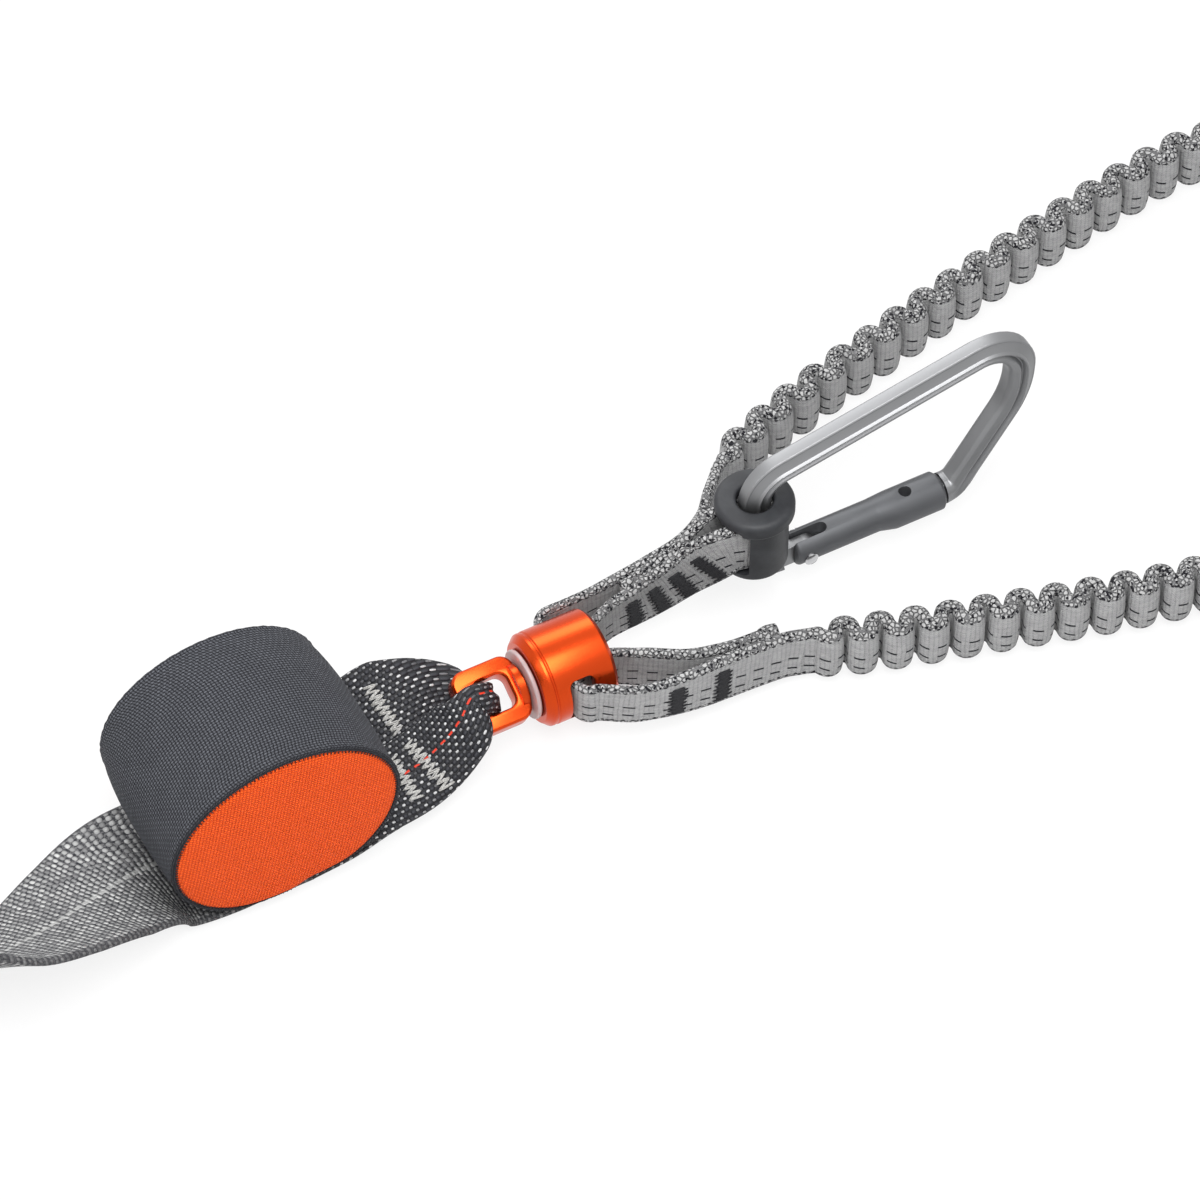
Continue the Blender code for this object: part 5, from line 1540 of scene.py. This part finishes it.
def connector(prefix, corners, radii, hinge, nose, matrix, bodies):
    """Frame, gate and rivet of one carabiner or end connector."""
    frame_body, gate_body = bodies
    x, z = hinge
    lug = HINGE_LUG / 2
    lug_start = corners[0][0] - LUG_OVERLAP
    parts = (
        bar_mesh(corners, radii, matrix),
        box_mesh((lug_start, -lug, z - LUG_RADIUS), (x, lug, z + LUG_RADIUS), matrix, LUG_EASE),
        pin_mesh(LUG_RADIUS, x, z, lug, matrix, 0.2),
        box_mesh(
            (nose - TONGUE_BACK, -TONGUE_HALF_DEPTH, z - TONGUE_HALF_HEIGHT),
            (nose + TONGUE_AHEAD, TONGUE_HALF_DEPTH, z + TONGUE_HALF_HEIGHT),
            matrix,
            TONGUE_EASE,
        ),
    )
    mesh = joined_meshes(parts, f"{prefix}_bar")
    add_piece(f"{prefix}_bar", mesh, SILVER, frame_body, (f"{prefix}_frame",), smooth=40)

    level = matrix @ moved(z=z)
    blank, start, end = gate_mesh(x, nose)
    blank.transform(level)
    fork = lug + FORK_GAP
    fork_end = x + FORK_LENGTH - fork
    through = ((0, CUTTER_HALF), (fork, CUTTER_HALF), (fork, -CUTTER_HALF), (0, -CUTTER_HALF))
    above = ((0, CUTTER_HALF), (GATE_HOLE_RADIUS, CUTTER_HALF), (GATE_HOLE_RADIUS, 0), (0, 0))
    slot_low = (end - GATE_SLOT_LENGTH, -GATE_SLOT_HALF_DEPTH, -CUTTER_HALF)
    cutters = (
        box_mesh((start - 2, -fork, -CUTTER_HALF), (fork_end, fork, CUTTER_HALF), level),
        lathe_mesh(through, level @ moved(fork_end), 24),
        box_mesh(slot_low, (end + 2, GATE_SLOT_HALF_DEPTH, GATE_SLOT_TOP), level),
        lathe_mesh(above, level @ moved(end - GATE_HOLE_BACK), 24),
    )
    mesh = cut_mesh(blank, cutters, 0.18, 2, 48)
    add_piece(f"{prefix}_tube", mesh, GREY_METAL, gate_body, (f"{prefix}_gate",), smooth=40)

    mesh = pin_mesh(PIN_RADIUS, x, z, GATE_NECK_RADIUS + PIN_PROUD, matrix, PIN_DOME)
    add_piece(f"{prefix}_pin", mesh, STEEL, frame_body, (f"{prefix}_rivet",), smooth=40)


def keeper(prefix, matrix, body):
    """A rubber boot on the end bar: a thick collar over a sleeve with a mouth for the webbing."""
    top = KEEPER_HALF_HEIGHT
    shoulder = top - KEEPER_COLLAR_HEIGHT
    outline = (
        (KEEPER_BORE_RADIUS, top, 0.9),
        (KEEPER_COLLAR_RADIUS, top, 1.7),
        (KEEPER_COLLAR_RADIUS, shoulder - 0.4, 1.1),
        (KEEPER_RADIUS, shoulder - 1.9, 0.9),
        (KEEPER_RADIUS + 0.1, -top, 1.8),
        (KEEPER_BORE_RADIUS, -top, 0.6),
    )
    blank = lathe_mesh(rounded_profile(outline, 6), matrix, 64)
    half = BAND_WIDTH / 2 + GAP * 2
    radius = KEEPER_CAVITY_RADIUS
    cavity = lathe_mesh(((0, half), (radius, half), (radius, -half), (0, -half)), matrix)
    reach = KEEPER_COLLAR_RADIUS + CUTTER_REACH
    mouth_end = (0, radius, half - KEEPER_MOUTH_STEP)
    mouth = box_mesh((-reach, -radius, -half), mouth_end, matrix, KEEPER_MOUTH_CORNER)
    mesh = cut_mesh(blank, (cavity, mouth), 0.45, 3, 50)
    add_piece(f"{prefix}_boot", mesh, RUBBER, body, (f"{prefix}_keeper",), smooth=45)


def leash():
    x, level = LEASH_HINGE
    corners = ((x - BAR_TO_HINGE, level), (0, level), *LEASH_CORNERS, (LEASH_NOSE, level))
    place = moved(*LEASH_BAR)
    bodies = ("leash_carabiner", "leash_gate")
    connector("leash", corners, LEASH_RADII, LEASH_HINGE, LEASH_NOSE, place, bodies)
    keeper("leash", place @ moved(z=LEASH_KEEPER_HEIGHT), "swivel")


def lever(prefix, matrix, body):
    """A channel that straddles the spine, with an ear on each side for its pin."""
    inner, outer = LEVER_INNER, LEVER_OUTER
    low, high = LEVER_TOP - LEVER_WALL, LEVER_TOP
    start, end = LEVER_PIN - EAR_HALF_LENGTH, LEVER_PIN + LEVER_LENGTH
    ear_end = LEVER_PIN + EAR_HALF_LENGTH
    bottom, side_bottom = high - LEVER_BLANK_HEIGHT, high - LEVER_SIDE_HEIGHT
    shell = box_mesh((start, -outer, bottom), (end, outer, high), matrix, LEVER_CORNER, 4)
    cutters = [
        box_mesh((start - 2, -inner, -CUTTER_HALF), (end + 2, inner, low), matrix),
        box_mesh((ear_end, -outer - 2, -CUTTER_HALF), (end + 2, outer + 2, side_bottom), matrix),
    ]
    for k in range(GRIP_COUNT):
        x = GRIP_START + GRIP_PITCH * k
        grip_end = (x + GRIP_LENGTH, outer + 1, high + 1)
        cutters.append(box_mesh((x, -outer - 1, high - GRIP_DEPTH), grip_end, matrix, GRIP_EASE))
    parts = [cut_mesh(shell, cutters, 0.2, 2, 45)]
    for near, far in ((inner, outer), (-outer, -inner)):
        parts.append(box_mesh((start, near, EAR_BOTTOM), (ear_end, far, low), matrix, EAR_CORNER))
    name = f"{prefix}_lever_shell"
    mesh = joined_meshes(parts, name)
    add_piece(name, mesh, GREY_METAL, body, (f"{prefix}_lever",), smooth=40)


def end_loop(prefix, start, bar):
    """On edge at the arm, a quarter twist, then round the connector's bar and back along itself."""
    pitch = BAND_THICKNESS + END_LAYER_GAP
    split = bar.x - END_SPLIT_LENGTH
    first = start.x + GAP
    steps = 28
    out_leg, back_leg = [], []
    for i in range(steps + 1):
        x = first + (bar.x - first) * i / steps
        roll = math.pi / 2 * clipped(1 - (x - first) / (END_TWIST_LENGTH - GAP))
        across = (0, math.cos(roll), math.sin(roll))
        normal = np.array((0, -math.sin(roll), math.cos(roll)))
        opened = eased((x - split) / (bar.x - split))
        guide = np.array((x, start.y, bar.z))
        out_leg.append((guide + normal * WRAP_RADIUS * opened, across))
        back_leg.append((guide - normal * (pitch + (WRAP_RADIUS - pitch) * opened), across))
    wrap = arc((bar.x, bar.z), WRAP_RADIUS, 90, -90, 16)[1:-1]
    turn = [((x, bar.y, z), (0, 1, 0)) for x, z in wrap]
    points, across = zip(*out_leg, *turn, *reversed(back_leg[4:]))
    mesh = Strap(points, np.array(across), BAND_WIDTH, BAND_THICKNESS, BAND_WIDTH).mesh()
    add_piece(f"{prefix}_loop_band", mesh, BAND, f"{prefix}_end", (f"{prefix}_end_loop",))


def arm_end(prefix, route, side):
    last = Vector((*route[-1], END_BAR_HEIGHT))
    bar = last + Vector((END_LOOP_LENGTH, 0, 0))
    end_loop(prefix, last, bar)
    lay_flat = turned(END_TILT, "Y") @ turned(-side * math.pi / 2, "X")
    matrix = moved(bar.x, bar.y - side * END_STRAP_CENTRE, bar.z) @ lay_flat
    x, level = END_HINGE
    corners = ((x - BAR_TO_HINGE, level), (0, level), *END_CORNERS, (END_NOSE, level))
    body = f"{prefix}_connector"
    connector(prefix, corners, END_RADII, END_HINGE, END_NOSE, matrix, (body, f"{body}_gate"))
    slope = math.atan2(END_SHOULDER - END_SPINE_SIDE, END_TIP_REACH)
    spine = matrix @ moved(z=END_SPINE_SIDE) @ turned(-slope, "Y")
    lever(prefix, spine, f"{body}_lever")
    pin = pin_mesh(PIN_RADIUS, LEVER_PIN, 0, LEVER_OUTER + PIN_PROUD, spine, PIN_DOME)
    add_piece(f"{prefix}_lever_rivet", pin, STEEL, body, (f"{prefix}_lever_pin",), smooth=40)
    keeper(prefix, matrix @ moved(z=END_STRAP_CENTRE), f"{prefix}_end")


HIDDEN_NODE_MATERIALS = {
    "tear_pack": BLACK_WEBBING,
    "thrust_washer": STEEL,
    "stem_nut": STEEL,
    "leash_plunger": STEEL,
    "upper_plunger": STEEL,
    "lower_plunger": STEEL,
}


def dress_hidden_nodes():
    for node, mat in HIDDEN_NODE_MATERIALS.items():
        for slot in bpy.data.objects[node].material_slots:
            slot.material = mat


# Zigzag tacks on the black webbing: name, x, offset, run, swing, teeth and lean
BACK_LEG_TACKS = (("tack_back_leg", 44, 7.2, 16, 3.6, 9, 0.05),)
FRONT_LEG_TACKS = (
    ("tack_front_leg_inner", 45.4, -1, 34, 3.7, 9, 0.02),
    ("tack_front_leg_outer", 38.9, 0, 27, 3.6, 8, -0.02),
)

# Bar tacks on the bands: x of each, then run, reach, offset and the side of this y
LEASH_TACKS = (112.4, 119, 125.5, 132)
LEASH_TACK_SIZES = (10.6, 4.0, -1.2, 9.5)
ARM_TACKS = (109.5, 122)
ARM_TACK_SIZES = (10.6, 4.4, -0.9, -18.8)


def leg_tacks(strap, turn_at, back):
    """The zigzag tacks on one leg of the black webbing."""
    leg = slice(0, turn_at) if back else slice(None, turn_at - 1, -1)
    side = 1 if strap.normal[5 if back else -5, 2] > 0 else -1
    for name, x, *sizes, lean in BACK_LEG_TACKS if back else FRONT_LEG_TACKS:
        centre = float(np.interp(x, strap.points[leg, 0], strap.lengths[leg]))
        zigzag_tack(name, strap, centre, *sizes, side, lean)


def band_tacks(name, strap, places, sizes):
    run, reach, offset, limit = sizes
    for k, x in enumerate(places):
        near = (abs(strap.points[:, 0] - x) < 0.5) & (strap.points[:, 1] < limit)
        at = int(np.argmax(near))
        side = -1 if strap.normal[at, 1] > 0 else 1
        block_tack(f"{name}_{k + 1}", strap, strap.lengths[at], run, reach, side, offset)


def main():
    add_camera()
    add_stage()
    arm("upper", UPPER_ARM_ROUTE, UPPER_ARM_PITCH)
    arm("lower", LOWER_ARM_ROUTE, LOWER_ARM_PITCH)
    pouch_band()
    pouch_panel("front_panel_cloth", -1, "pouch_front_panel")
    pouch_panel("back_panel_cloth", 1, "pouch_back_panel")
    seam_ticks()
    tie_in()
    strap, turn_at = black_webbing()
    leg_tacks(strap, turn_at, True)
    leg_tacks(strap, turn_at, False)
    swivel_eye()
    washer()
    barrel()
    upper = upper_band()
    lower = lower_band()
    band_tacks("leash_tack", upper, LEASH_TACKS, LEASH_TACK_SIZES)
    band_tacks("arm_tack", lower, ARM_TACKS, ARM_TACK_SIZES)
    leash()
    arm_end("upper", UPPER_ARM_ROUTE, 1)
    arm_end("lower", LOWER_ARM_ROUTE, -1)
    dress_hidden_nodes()
    bpy.context.scene.view_settings.view_transform = "Standard"


main()
